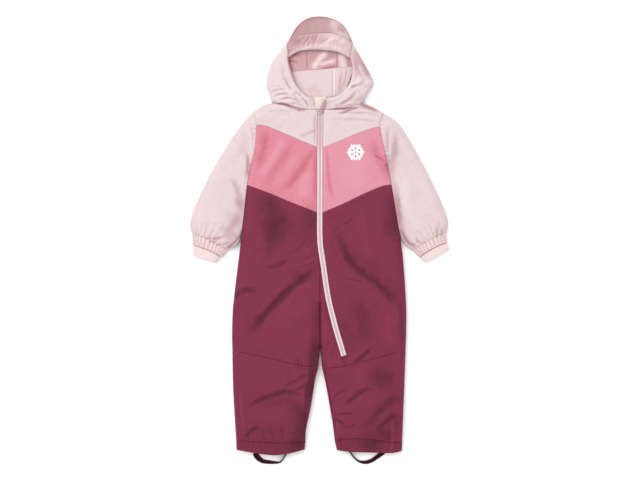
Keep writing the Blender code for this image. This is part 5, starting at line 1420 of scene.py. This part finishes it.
# ------------------------------------------------------------------ front and back
@dataclass
class FrontPanels:
    """Padded panels of the front: yokes, chest chevron, body, thigh strip and shins."""

    step: float = 1.5
    lip: float = 0.35
    lip_width: float = 1.3
    crumpled: float = 0.9
    crumpled_dark: float = 0.7

    def panel(self, name: str, edges: tuple, finish: Shade, rests_on: str) -> None:
        """One panel over its edges, its border rolled into the seam.

        Args:
            name: the piece and node name.
            edges: top, bottom, left and right edges.
            finish: the shell.
            rests_on: back panel under it.
        """
        grid = patch(*edges, self.step)
        places = grid.reshape(-1, 2)
        crumpled = self.crumpled_dark if finish is Shade.BURGUNDY else self.crumpled
        height, folds = PADDING.front(places, crumpled)
        height -= self.lip * fall(edge_gap(grid, self.lip_width), self.lip_width)
        height = np.maximum(height, PADDING.under + LEAST_WALL)
        panel(name, grid, height, PADDING.under, finish, painted_shading_of(height, len(grid), folds))

    @staticmethod
    def seam_to_zip(line: Array, edge: Array) -> Array:
        """A seam from its outer end to an edge of the zip, their meeting found by stepping between them."""
        ordered = line[np.argsort(line[:, 0])]
        x = edge[0, 0]
        for _ in range(MEETING_STEPS):
            y = np.interp(x, ordered[:, 0], ordered[:, 1])
            x = np.interp(-y, -edge[:, 1], edge[:, 0])
        return between(line, 0, line[0, 0], x)

    @staticmethod
    def leg_inside(start_y: float, inner: Array, knee_y: float) -> Array:
        """The edge down the crotch seam, and from where the legs part down one leg to its knee seam."""
        return join(between(CROTCH, 1, start_y, CROTCH[-1, 1]), between(inner, 1, inner[0, 1], knee_y))

    @staticmethod
    def facing(side: str, top: Array, bottom: Array, outer: Array, inner: Array) -> tuple[Array, ...]:
        """Top, bottom, left and right edges of a panel whose edges are given from its outer side inward."""
        return (top, bottom, outer, inner) if side == "right" else (top[::-1], bottom[::-1], inner, outer)

    def build(self) -> None:
        """Make every panel."""
        seams = {side: [self.seam_to_zip(line[side], ZIP_EDGE[side]) for line in (NECK, CREST, CHEVRON)]
                 for side in RIGHT_LEFT}
        for side in RIGHT_LEFT:
            neck, crest, _ = seams[side]
            self.panel(f"yoke_{side}", self.facing(
                side, join(SHOULDER[side], neck), crest,
                between(ARMHOLE[side], 1, ARMHOLE[side][0, 1], CREST[side][0, 1]),
                between(ZIP_EDGE[side], 1, neck[-1, 1], crest[-1, 1])), Shade.LIGHT_PINK, "back_yoke_cloth")
        for side, finish in zip(RIGHT_LEFT, (Shade.MID_PINK, Shade.PRINTED_PINK)):
            _, crest, chevron = seams[side]
            arm = join(ARMHOLE[side], SIDE[side])
            self.panel(f"chest_{side}", self.facing(
                side, crest, chevron, between(arm, 1, CREST[side][0, 1], CHEVRON[side][0, 1]),
                between(ZIP_EDGE[side], 1, crest[-1, 1], chevron[-1, 1])), finish, "back_chest_cloth")
        right, left = ZIP_EDGE.values()
        chevron_r, chevron_l = (seams[side][2] for side in RIGHT_LEFT)
        knee_r, knee_inner, knee_outer = KNEES
        self.panel("body_right", (
            chevron_r, knee_r, between(SIDE["right"], 1, chevron_r[0, 1], knee_r[0, 1]),
            join(between(right, 1, chevron_r[-1, 1], ZIP_MEETS_CROTCH_Y),
                 self.leg_inside(ZIP_MEETS_CROTCH_Y, INNER["right"], knee_r[-1, 1]))),
            Shade.BURGUNDY, "back_right_cloth")
        last = ZIP[-1] - ZIP[-2]
        tail = np.array([ZIP[-1] + ZIP_END_GAP * last / np.hypot(*last), knee_outer[0]])
        self.panel("body_left", (
            chevron_l[::-1], knee_outer,
            join(between(left, 1, chevron_l[-1, 1], left[-1, 1]), np.vstack([left[-1:], tail])),
            between(SIDE["left"], 1, chevron_l[0, 1], knee_outer[-1, 1])), Shade.BURGUNDY, "back_left_cloth")
        inner = join(between(right, 1, THIGH_START_Y, right[-1, 1]), np.vstack([right[-1:], tail]))
        crotch = self.leg_inside(THIGH_START_Y, INNER["left"], knee_inner[0, 1])
        self.panel("inner_thigh_left", (np.array([crotch[0], inner[0]]), knee_inner, crotch, inner),
                   Shade.BURGUNDY, "back_left_cloth")
        for side, knee, first, second in (("right", knee_r, SIDE, INNER),
                                          ("left", join(knee_inner, knee_outer), INNER, SIDE)):
            hem = HEM_SEAM[side]
            self.panel(f"shin_{side}", (knee, hem, between(first[side], 1, knee[0, 1], hem[0, 1]),
                                        between(second[side], 1, knee[-1, 1], hem[-1, 1])),
                       Shade.BURGUNDY, f"back_{side}_cloth")


@dataclass
class BackPanels:
    """Panels that the suit lies on, flat underneath with rounded borders."""

    step: float = 3.6
    top: float = 9.0
    round_width: float = 6.0
    round_rise: float = 3.6

    def panel(self, name: str, edges: tuple, finish: Shade) -> None:
        """One back panel: a flat top, and an underside that rises by a quarter round at its border."""
        grid = patch(*edges, self.step, crowding=0.75)
        rise = self.round_rise * fall(edge_gap(grid, self.round_width), self.round_width)
        panel(name, grid, np.full(len(rise), self.top), rise, finish)

    def build(self) -> None:
        """Make the four back panels."""
        arm_r, arm_l = (join(ARMHOLE[side], SIDE[side]) for side in RIGHT_LEFT)
        seam_r, seam_l = (CREST[side][0] for side in RIGHT_LEFT)
        waist_r, waist_l = (CHEVRON[side][0] for side in RIGHT_LEFT)
        hem_r, hem_l = HEM_SEAM.values()
        self.panel("back_yoke", (
            join(SHOULDER["right"], NECK_SEAM, SHOULDER["left"][::-1]), straight(seam_r, seam_l),
            between(arm_r, 1, arm_r[0, 1], seam_r[1]), between(arm_l, 1, arm_l[0, 1], seam_l[1])),
            Shade.LIGHT_PINK)
        self.panel("back_chest", (
            straight(seam_r, seam_l), straight(waist_r, waist_l), between(arm_r, 1, seam_r[1], waist_r[1]),
            between(arm_l, 1, seam_l[1], waist_l[1])), Shade.MID_PINK)
        middle = (0.0, (waist_r[1] + waist_l[1]) / 2)
        centre = straight(middle, CROTCH[-1])
        self.panel("back_right", (straight(waist_r, middle), hem_r, between(arm_r, 1, waist_r[1], hem_r[0, 1]),
                                  join(centre, INNER["right"])), Shade.BURGUNDY)
        self.panel("back_left", (straight(middle, waist_l), hem_l, join(centre, INNER["left"]),
                                 between(arm_l, 1, waist_l[1], hem_l[-1, 1])), Shade.BURGUNDY)


# ------------------------------------------------------------------ tubes
@dataclass
class TubePiece:
    """A laid tube of cloth: rounded sides, flat underneath, with a flat slot through it."""

    name: str
    edges: tuple
    top: float
    wall: float
    finish: Shade
    step: float = 1.8
    waves: float = 0.0
    wave_height: float = 0.0
    wave_start: float = 1.0
    wave_sharp: float = 1.0
    drift: float = 0.9
    drift_span: float = 400.0
    drift_squash: float = 0.4
    drift_pitch: float = 31.0
    gathers: tuple = ()
    end_round: float = 0.0
    lumps: float = 0.0
    edge_top: float = 11.5
    inner_top: float = 11.5
    edge_low: float = 6.0
    slot_low: float = 8.4
    slot_high: float = 10.6
    over_slot: float = 0.6
    side_roll: float = 22.0
    side_share: float = 0.35
    against_reach: float = 30.0
    end_width: float = 2.6
    under_round: float = 7.0
    sink_gain: float = 0.3
    # Shade painted over the whole tube's colour, added to the folds' painted tone
    shaded: float = 0.0
    held: str = "laid"
    fullness: float = 1.0

    def build(self) -> None:
        """Make the tube.

        Top height is edge_top + (top - edge_top) * roll(gap to the side / reach), less the folds, plus
        wave_height * cos(2 pi waves * share across) and the gathers of the seams.
        """
        grid = patch(*self.edges, self.step, crowding=0.55)
        rows, columns = grid.shape[:2]
        places = grid.reshape(-1, 2)
        reach = min(self.side_roll, self.side_share * lengths(self.edges[0])[-1])
        first, second = (nearest(places, line, reach)[0] for line in self.edges[2:])
        side = np.minimum(first, second)
        edge = roll(side / reach)
        against = ease((places[:, 1] - SLEEVE_LEAVES_Y) / self.against_reach)
        inner_drop = self.top - self.edge_top - (self.inner_top - self.edge_top) * against
        top = self.top - np.maximum((self.top - self.edge_top) * fall(first, reach),
                                    inner_drop * fall(second, reach))
        depth, folds = fold_sums(places, FRONT_FOLDS)
        top -= depth * np.minimum(1.0, edge + 0.3)
        if self.lumps:
            top += self.lumps * (PADDING.lumps(places) + 0.8 * PADDING.crumple(places)) * edge
        if self.waves:
            share = np.tile(np.linspace(0.0, 1.0, columns), rows)
            spread = np.column_stack([share * self.drift_span, places[:, 1] * self.drift_squash])
            drift = self.drift * NOISE.at(spread, self.drift_pitch)
            growth = np.repeat(np.linspace(self.wave_start, 1.0, rows), columns)
            crest = np.cos(TURN * self.waves * share + drift)
            crest = np.sign(crest) * np.abs(crest) ** self.wave_sharp
            top += self.wave_height * growth * crest * np.minimum(edge + 0.25, 1.0)
        for gather in self.gathers:
            top += gather.at(places) * edge
        ends = np.minimum(nearest(places, self.edges[0], 3.0)[0], nearest(places, self.edges[1], 3.0)[0])
        if self.end_round:
            top -= self.end_round * fall(ends, self.end_width)
        top = np.maximum(top, self.slot_high + self.over_slot)
        under = self.edge_low * fall(side, self.under_round)
        over = np.concatenate([grid, top.reshape(rows, columns, 1)], axis=2)
        below = np.concatenate([grid, under.reshape(rows, columns, 1)], axis=2)[:, ::-1]
        outer = np.concatenate([over, below], axis=1)
        picks = np.linspace(0, rows - 1, max(2, rows // 6)).round().astype(int)
        inner = np.stack([self.slot(grid[pick]) for pick in picks])
        run = np.concatenate([np.linspace(0.0, 1.0, columns), np.linspace(1.0, 2.0, columns)])
        near, far = lengths(self.edges[0])[-1], lengths(self.edges[1])[-1]
        width = near * (1 - 0.5 * (near - far) / near)
        cloth = np.stack(np.meshgrid(run * width, lengths(grid[:, columns // 2])), axis=-1)
        # Shade and highlight painted into the outer face's colour
        painted_shading = np.zeros((rows, 2 * columns))
        painted_shading[:, :columns] = painted_shading_of(top, rows, folds + self.shaded, self.sink_gain).reshape(rows, columns)
        thing = rings_to_tube(f"{self.name}_cloth", outer, inner, cloth, painted_shading)
        dress(thing, self.finish, [self.name])
        declare_cloth(grid, 2, self.fullness)

    def slot(self, row: Array) -> Array:
        """Ring of the flat slot: the row drawn in from both ends by the wall, over and back under."""
        run = lengths(row)
        hold = self.wall / run[-1]
        drawn = at(row, hold + (1 - 2 * hold) * run / run[-1])
        over = np.column_stack([drawn, np.full(len(row), self.slot_high)])
        below = np.column_stack([drawn[::-1], np.full(len(row), self.slot_low)])
        return np.vstack([over, below])


@dataclass
class Sleeves:
    """Puffed sleeves with gathered cuffs and knitted inner cuffs."""

    sleeve_top: float = 20.5
    cuff_top: float = 19.0
    rib_top: float = 16.6
    wall: float = 8.5
    rib_wall: float = 4.0
    cuff_gathers: int = 13
    ribs: int = 18

    def build(self) -> None:
        """Make both arms."""
        for side in RIGHT_LEFT:
            hole, seam, cuff_end = ARMHOLE[side], CUFF_SEAM[side], CUFF_END[side]
            pitch = lengths(seam)[-1] / self.cuff_gathers
            gathers = (Gather(seam, pitch, 1.1, 13.0), Gather(seam, 1.8 * pitch, 0.9, 24.0),
                       Gather(hole, 11.0, 0.35, 9.0))
            TubePiece(f"sleeve_{side}", (hole, seam, SLEEVE_OUTER[side], SLEEVE_INNER[side]), self.sleeve_top,
                      self.wall, Shade.LIGHT_PINK, gathers=gathers, end_round=0.4, lumps=1.0, step=1.5,
                      inner_top=17.0).build()
            gathers = (Gather(cuff_end, 0.55 * pitch, 0.5, 9.0), Gather(seam, 2.3 * pitch, 0.5, 9.0))
            TubePiece(f"cuff_{side}", band(seam, cuff_end), self.cuff_top, self.wall, Shade.CUFF_PINK, step=0.9,
                      waves=self.cuff_gathers, wave_height=0.8, wave_start=0.8, wave_sharp=0.8, end_round=0.8,
                      held="gathered", fullness=1.25, gathers=gathers, sink_gain=0.6).build()
            TubePiece(f"rib_cuff_{side}", band(RIB_START[side], RIB_END[side]), self.rib_top, self.rib_wall,
                      Shade.RIB, step=0.7, waves=self.ribs, wave_height=0.35, end_round=1.6).build()


@dataclass
class Hems:
    """Elasticated hem bands of the legs."""

    top: float = 18.0
    wall: float = 8.5
    gathers: int = 12

    def build(self) -> None:
        """Make both hems."""
        for side, line in HEM_SEAM.items():
            pitch = lengths(line)[-1] / self.gathers
            gathers = (Gather(line, 1.3 * pitch, 0.5, 14.0), Gather(line, 0.7 * pitch, 0.25, 12.0))
            # The hems get extra shade painted over their colour
            TubePiece(f"hem_{side}", band(line, HEM_END[side]), self.top, self.wall, Shade.BURGUNDY, step=1.2,
                      gathers=gathers, end_round=0.7, lumps=0.8, shaded=0.3, held="gathered",
                      fullness=1.1).build()


# ------------------------------------------------------------------ hood
@dataclass
class Hood:
    """Hood laid open: sides, brim and crown over the lining, neck panel and back."""

    side_wall: float = 10.0
    crown_wall: float = 7.0
    edge_share: float = 0.45
    edge_round: float = 14.0
    wall_least: float = 3.0
    wall_dip: float = 1.2
    rim_drop: float = 3.0
    rim_round: float = 6.0
    neck_drop: float = 0.8
    neck_round: float = 5.0
    step: float = 1.2
    lining_top: float = 9.6
    lining_most: float = 13.0
    lining_under: float = 6.3
    lining_lumps: float = 0.5
    shell_lumps: float = 0.7
    crumpled: float = 1.2
    shell_lip: float = 0.3
    lining_lip: float = 0.4
    lip_width: float = 1.2
    back_top: float = 6.0
    crown_end_share: float = 0.035
    crown_points: int = 60

    def outer(self, places: Array, thickness: float) -> Array:
        """Outer face: wall over the underside, rounded at outline, rim and neck."""
        reach = self.edge_round
        inside = roll(nearest(places, HOOD_OUTLINE, reach)[0] / reach)
        share = self.edge_share + (1 - self.edge_share) * inside
        rim = self.rim_drop * fall(nearest(places, HOOD_RIM, self.rim_round)[0], self.rim_round)
        neck = self.neck_drop * fall(nearest(places, NECK_SEAM, self.neck_round)[0], self.neck_round)
        return PADDING.hood_under(places) + np.maximum(thickness * share - rim - neck, self.wall_least)

    def shell(self, name: str, edges: tuple, thickness: float, finish: Shade,
              gathers: Sequence[Gather] = (), ridges: Sequence[tuple] = ()) -> None:
        """One shaped panel of the hood.

        Args:
            name: piece and node name.
            edges: top, bottom, left and right edges.
            thickness: its wall.
            finish: its cloth.
            rests_on: what it lies on.
            gathers: ripples along its seams.
            ridges: folds of its own.
        """
        grid = patch(*edges, self.step)
        places = grid.reshape(-1, 2)
        under = PADDING.hood_under(places)
        depth, folds = fold_sums(places, (*HOOD_FOLDS, *ridges))
        top = self.outer(places, thickness) - depth
        top += self.shell_lumps * (PADDING.lumps(places) + self.crumpled * PADDING.crumple(places))
        top += sum(gather.at(places) for gather in gathers)
        top -= self.shell_lip * fall(edge_gap(grid, self.lip_width), self.lip_width)
        top = np.maximum(top, under + self.wall_least - self.wall_dip)
        panel(name, grid, top, under, finish, painted_shading_of(top, len(grid), folds))

    def liner(self, name: str, edges: tuple, finish: Shade, ridges: Sequence[tuple]) -> None:
        """One flat-backed panel of the lining, raised into soft folds."""
        grid = patch(*edges, self.step)
        places = grid.reshape(-1, 2)
        depth, folds = fold_sums(places, ridges)
        top = self.lining_top + self.lining_lumps * (1.0 + PADDING.lumps(places)) - depth
        top -= self.lining_lip * fall(edge_gap(grid, self.lip_width), self.lip_width)
        top = np.clip(top, self.lining_under + LEAST_WALL, self.lining_most)
        panel(name, grid, top, self.lining_under, finish, painted_shading_of(top, len(grid), folds))

    def build(self) -> None:
        """Make the hood."""
        temples = {side: straight(HOOD_EDGE[side][0], RIM[side][0]) for side in RIGHT_LEFT}
        for side, neck in NECK.items():
            outline = join(HOOD_EDGE[side], between(neck, 0, neck[0, 0], CHIN[side][0, 0]))
            self.shell(f"hood_side_{side}", (temples[side], CHIN[side], outline, RIM[side]), self.side_wall,
                       Shade.LIGHT_PINK, (Gather(neck, 10.0, 0.3, 9.0),))
        self.shell("hood_brim", (HOOD_FOLD, BRIM_EDGE, *temples.values()), self.crown_wall, Shade.BRIM_PINK_PAINTED_SHADE,
                   (Gather(BRIM_EDGE, 8.5, 0.35, 13.0, 9.0),), BRIM_RIDGES)
        shares = np.linspace(self.crown_end_share, 1.0 - self.crown_end_share, self.crown_points)
        self.shell("hood_crown", band(at(HOOD_DOME, shares), at(HOOD_FOLD, shares)), self.crown_wall,
                   Shade.CROWN_PINK_PAINTED_SHADE, (), CROWN_RIDGES)
        self.liner("hood_lining", band(LINING_TOP, LINING_SEAM), Shade.DUSTY_LINING, LINING_RIDGES)
        self.liner("neck_panel", band(LINING_SEAM, NECK_PANEL_FOOT), Shade.PALE_LINING, NECK_RIDGES)
        BackPanels(top=self.back_top).panel("hood_back", (HOOD_DOME, NECK_SEAM, *HOOD_EDGE.values()),
                                            Shade.LIGHT_PINK)


@dataclass
class ChinGuard:
    """Soft tab over the top of the zip, with a sewn edge."""

    top: float = 19.2
    round_width: float = 4.0
    drop: float = 4.0
    lip: float = 1.4
    lip_width: float = 2.2
    # The sewn groove: its depth, its distance from the border and its half width
    groove: tuple[float, float, float] = (0.5, 3.4, 0.6)

    def build(self) -> None:
        """Make the tab: flat on top, rounded down at its upper edge and its sides."""
        (foot_x, foot_y), (side_x, side_y) = CHIN["left"]
        half = side_x + (CHIN_TOP_Y - side_y) / (side_y - foot_y) * (side_x - foot_x)
        foot = ZIP[0, 1] + SEAM_GAP
        top = straight((-half, CHIN_TOP_Y), (half, CHIN_TOP_Y))
        grid = patch(*band(top, straight((-foot_x, foot), (foot_x, foot))), 0.9)
        places = grid.reshape(-1, 2)
        height = self.top - self.drop * fall(nearest(places, top, self.round_width)[0], self.round_width)
        height -= self.lip * fall(edge_gap(grid, self.lip_width), self.lip_width)
        depth, inset, width = self.groove
        height -= depth * np.exp(-(((edge_gap(grid, 6.0) - inset) / width) ** 2))
        panel("chin_guard", grid, height, PADDING.under, Shade.GUARD,
              fullness=1.4)


# ------------------------------------------------------------------ zip
@dataclass
class Zip:
    """Tapes, coil chain, slider and pull."""

    tape_clearance: float = 0.1
    thickness: float = 3.0
    dome: float = 0.18
    strip_start: float = 0.0005
    strip_share: float = 0.998
    rows: int = 320
    tooth_pitch: float = 1.5
    # Teeth: start along the zip, height over the tapes, shift to each side, length and radius
    tooth_start: float = 0.002
    tooth_raised: float = 0.45
    tooth_shift: float = 0.42
    tooth: tuple[float, float] = (2.15, 0.5)

    def tops(self, centre: Array) -> Array:
        """Height of the tapes: the front's slopes and folds without its lumps."""
        height = PADDING.top - slope_drop(centre, PADDING.slopes) - fold_sums(centre, FRONT_FOLDS)[0]
        return np.maximum(height, PADDING.edge_least)

    def strip(self, name: str, offset: float, width: float, raised: float, thickness: float, finish: Shade,
              node: str) -> None:
        """A strip along the zip: a softly domed section carried beside its middle line."""
        centre = at(ZIP, np.linspace(self.strip_start, self.strip_share, self.rows))
        side = beside(centre, offset)
        tops = self.tops(centre) + raised
        along = heading(centre)
        across = np.column_stack([along[:, 1], -along[:, 0]]) * width
        turns = np.linspace(0.0, np.pi, 9)
        dome = np.column_stack([0.5 * np.cos(turns), 1.0 - self.dome + self.dome * np.sin(turns)])
        profile = np.vstack([dome, [[-0.5, 0.0], [0.5, 0.0]]])
        path = np.column_stack([side, tops - thickness])
        thing = swept(name, path, across, np.full(len(path), thickness), profile)
        dress(thing, finish, [node])

    def coil(self) -> None:
        """Teeth of the coil: short rods laid across the chain, alternately to each side."""
        count = int(lengths(ZIP)[-1] * self.strip_share / self.tooth_pitch)
        centre = at(ZIP, np.linspace(self.tooth_start, self.strip_share, count))
        path = np.column_stack([centre, self.tops(centre) + self.tooth_raised])
        frames = frames_along(path)
        side = np.where(np.arange(count) % 2, 1.0, -1.0) * self.tooth_shift
        places = path + frames[:, :, 1] * side[:, None]
        turned = np.stack([frames[:, :, 1], -frames[:, :, 0], frames[:, :, 2]], axis=-1)
        points, quads, caps = capsule(*self.tooth)
        thing = scattered("zip_coil", points, quads, caps, places, turned)
        dress(thing, Shade.COIL)

    def hardware(self) -> None:
        """Lacquer the slider and the pull."""
        for name, finish in (("zip_slider", Shade.SLIDER_METAL), ("zip_pull", Shade.METAL)):
            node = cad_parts[name]
            node.data.materials.clear()
            node.data.materials.append(finish.value.material(f"{name}_lacquer"))
            log.info("%s: carried over with a new finish", name)

    def build(self) -> None:
        """Make the zip."""
        outer, inner = ZIP_HALF_WIDTH - self.tape_clearance, ZIP_CHAIN_HALF_WIDTH + SEAM_GAP / 2
        middle, width = (outer + inner) / 2, outer - inner
        for name, offset in (("zip_tape_right", middle), ("zip_tape_left", -middle)):
            self.strip(f"{name}_weave", offset, width, 0.5, self.thickness, Shade.TAPE, name)
        self.strip("zip_chain_tape", 0.0, 2 * ZIP_CHAIN_HALF_WIDTH - SEAM_GAP, 0.4, self.thickness - 0.2,
                   Shade.CHAIN_TAPE, "zip_chain")
        self.coil()
        self.hardware()


# ------------------------------------------------------------------ straps and stitching
@dataclass
class FootStraps:
    """Elastic loops under the feet, turning from flat to edge-on."""

    corner: float = 0.32
    sides: int = 16
    rows: int = 90

    def build(self) -> None:
        """Make both straps: a rounded section whose width and height change along the loop."""
        turns = np.linspace(0.0, TURN, self.sides, endpoint=False)
        section = np.column_stack([shift + np.sign(wave) * np.abs(wave) ** self.corner / 2
                                   for shift, wave in ((0.0, np.cos(turns)), (0.5, np.sin(turns)))])
        for side, strap in STRAP.items():
            rows = at(strap, np.linspace(0.0, 1.0, self.rows))
            along = heading(rows)
            across = np.column_stack([along[:, 1], -along[:, 0]]) * rows[:, 2:3]
            path = np.column_stack([rows[:, :2], np.zeros(len(rows))])
            thing = swept(f"foot_strap_{side}_elastic", path, across, rows[:, 3], section)
            dress(thing, Shade.ELASTIC, [f"foot_strap_{side}"])


@dataclass
class Stitching:
    """Rows of thread on the shell."""

    stitch: float = 2.9
    gap: float = 1.0
    thread: float = 0.27
    raised: float = 0.12
    from_zip: float = 12.4
    from_armhole: float = 3.2
    from_seam: float = 3.0
    seam_inset: float = 0.03
    seam_points: int = 120
    point_gap: float = 2.0
    armhole_span: tuple[float, float] = (256.0, 160.0)
    armhole_break: tuple[float, float] = (240.0, 228.0)

    def row(self, name: str, line: Array, height: Array, finish: Shade, slot: str) -> None:
        """One row of stitches.

        Args:
            name: the piece's name.
            line: its line in plan.
            height: height of the cloth under it at each point.
            finish: the thread.
            slot: the record's material slot.
        """
        count = int(lengths(line)[-1] / (self.stitch + self.gap))
        raised = np.column_stack([line[:, :2], height + self.raised])
        path = at(raised, (np.arange(count) + 0.5) / count)
        points, quads, caps = capsule(self.stitch, self.thread)
        thing = scattered(name, points, quads, caps, path, frames_along(path))
        dress(thing, finish)

    def front_row(self, name: str, line: Array, finish: Shade, slot: str) -> None:
        """A row on the front's shell."""
        line = at(line, np.linspace(0.0, 1.0, max(20, int(lengths(line)[-1] / self.point_gap))))
        self.row(name, line, PADDING.front(line[:, :2])[0], finish, slot)

    def build(self) -> None:
        """Sew the zip's topstitch, the armholes, the knees and the hems."""
        left = beside(ZIP, -self.from_zip)
        for part, first, last, finish in (("yoke", 262.0, 195.0, Shade.PINK_THREAD),
                                          ("chest", 190.0, 62.0, Shade.MID_THREAD),
                                          ("body", 56.0, -236.0, Shade.DARK_THREAD)):
            self.front_row(f"stitch_zip_{part}", between(left, 1, first, last), finish, f"{part}_left")
        end, along = ZIP[-1], heading(ZIP)[-1]
        across = np.array([along[1], -along[0]])
        corners = ((3.0, 5.0), (3.0, -10.0), (-1.0, -self.from_zip))
        box = np.array([end + ahead * along + aside * across for ahead, aside in corners])
        self.front_row("stitch_zip_end", box, Shade.DARK_THREAD, "body_left")
        for side, aside in (("right", -self.from_armhole), ("left", self.from_armhole)):
            line = beside(between(ARMHOLE[side], 1, *self.armhole_span), aside)
            upper = line[line[:, 1] > self.armhole_break[0]]
            lower = line[line[:, 1] < self.armhole_break[1]]
            self.front_row(f"stitch_armhole_yoke_{side}", upper, Shade.PINK_THREAD, f"yoke_{side}")
            self.front_row(f"stitch_armhole_chest_{side}", lower, Shade.MID_THREAD, f"chest_{side}")
        knees = (KNEES[0], smooth(KNEE_LEFT_INNER + KNEE_LEFT_OUTER[1:]))
        shares = np.linspace(self.seam_inset, 1.0 - self.seam_inset, self.seam_points)
        for seam, lines, shift in (("knee", knees, -self.from_seam),
                                   ("hem", HEM_SEAM.values(), self.from_seam)):
            for side, line in zip(RIGHT_LEFT, lines):
                row = at(line, shares) + (0.0, shift)
                self.front_row(f"stitch_{seam}_{side}", row, Shade.DARK_THREAD, f"shin_{side}")


# ------------------------------------------------------------------ studio
@dataclass
class Studio:
    """Pale floor, soft light from the upper left with fill, and a camera straight above."""

    frame_width: float = 1.312
    lens: float = 100.0
    sensor: float = 36.0
    mid_height: float = 0.012
    floor_half: float = 6.0
    # Colours of the paper, from its darker clouds to its lighter ones, and light of the world
    papers: tuple[Colour, Colour] = ((0.93, 0.93, 0.93), (0.95, 0.95, 0.95))
    sky: tuple[float, ...] = (1.0, 0.995, 0.99, 1.0)
    sky_strength: float = 0.86

    def light(self, name: str, place: tuple, size: float, power: float) -> None:
        """A square soft light aimed at the middle of the suit."""
        lamp = bpy.data.lights.new(name, "AREA")
        lamp.shape = "SQUARE"
        lamp.size = size
        lamp.energy = power
        thing = bpy.data.objects.new(name, lamp)
        thing.location = place
        thing.rotation_euler = (-Vector(place)).to_track_quat("-Z", "Y").to_euler()
        bpy.context.scene.collection.objects.link(thing)

    def build(self) -> None:
        """Place floor, world, lights and camera."""
        half = self.floor_half
        corners = np.array([[-half, -half, 0], [half, -half, 0], [half, half, 0], [-half, half, 0]]) / MM
        floor = fill_mesh("floor", corners, np.array([[0, 1, 2, 3]]))
        paint = Paint("floor_paper", self.papers[0])
        colour = paint.blend(paint.noise(600.0, 1.0), *self.papers)
        floor.data.materials.append(paint.done(Base_Color=colour, Roughness=0.9, Specular_IOR_Level=0.2))
        world = bpy.data.worlds.new("studio")
        world.use_nodes = True
        background = world.node_tree.nodes["Background"]
        background.inputs[0].default_value = self.sky
        background.inputs[1].default_value = self.sky_strength
        bpy.context.scene.world = world
        self.light("key", (-1.35, 1.45, 2.9), 3.2, 97.0)
        self.light("fill", (1.9, -0.7, 3.0), 2.8, 26.0)
        camera = bpy.data.cameras.new("camera")
        camera.lens = self.lens
        camera.sensor_width = self.sensor
        thing = bpy.data.objects.new("camera", camera)
        distance = self.frame_width * self.lens / self.sensor
        thing.location = (0.0, 0.0, distance + self.mid_height)
        bpy.context.scene.collection.objects.link(thing)
        bpy.context.scene.camera = thing
        bpy.context.scene.view_settings.view_transform = "Standard"


def main() -> None:
    """Build the suit's pieces, then the studio, and keep the two boxes."""
    logging.basicConfig(level=logging.INFO, format="%(name)s: %(message)s")
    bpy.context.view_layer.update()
    for part in (BackPanels(), FrontPanels(), Sleeves(), Hems(), Hood(), ChinGuard(), Zip(), FootStraps(),
                 Stitching()):
        part.build()
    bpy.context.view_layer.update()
    Studio().build()


if __name__ == "__main__":
    main()
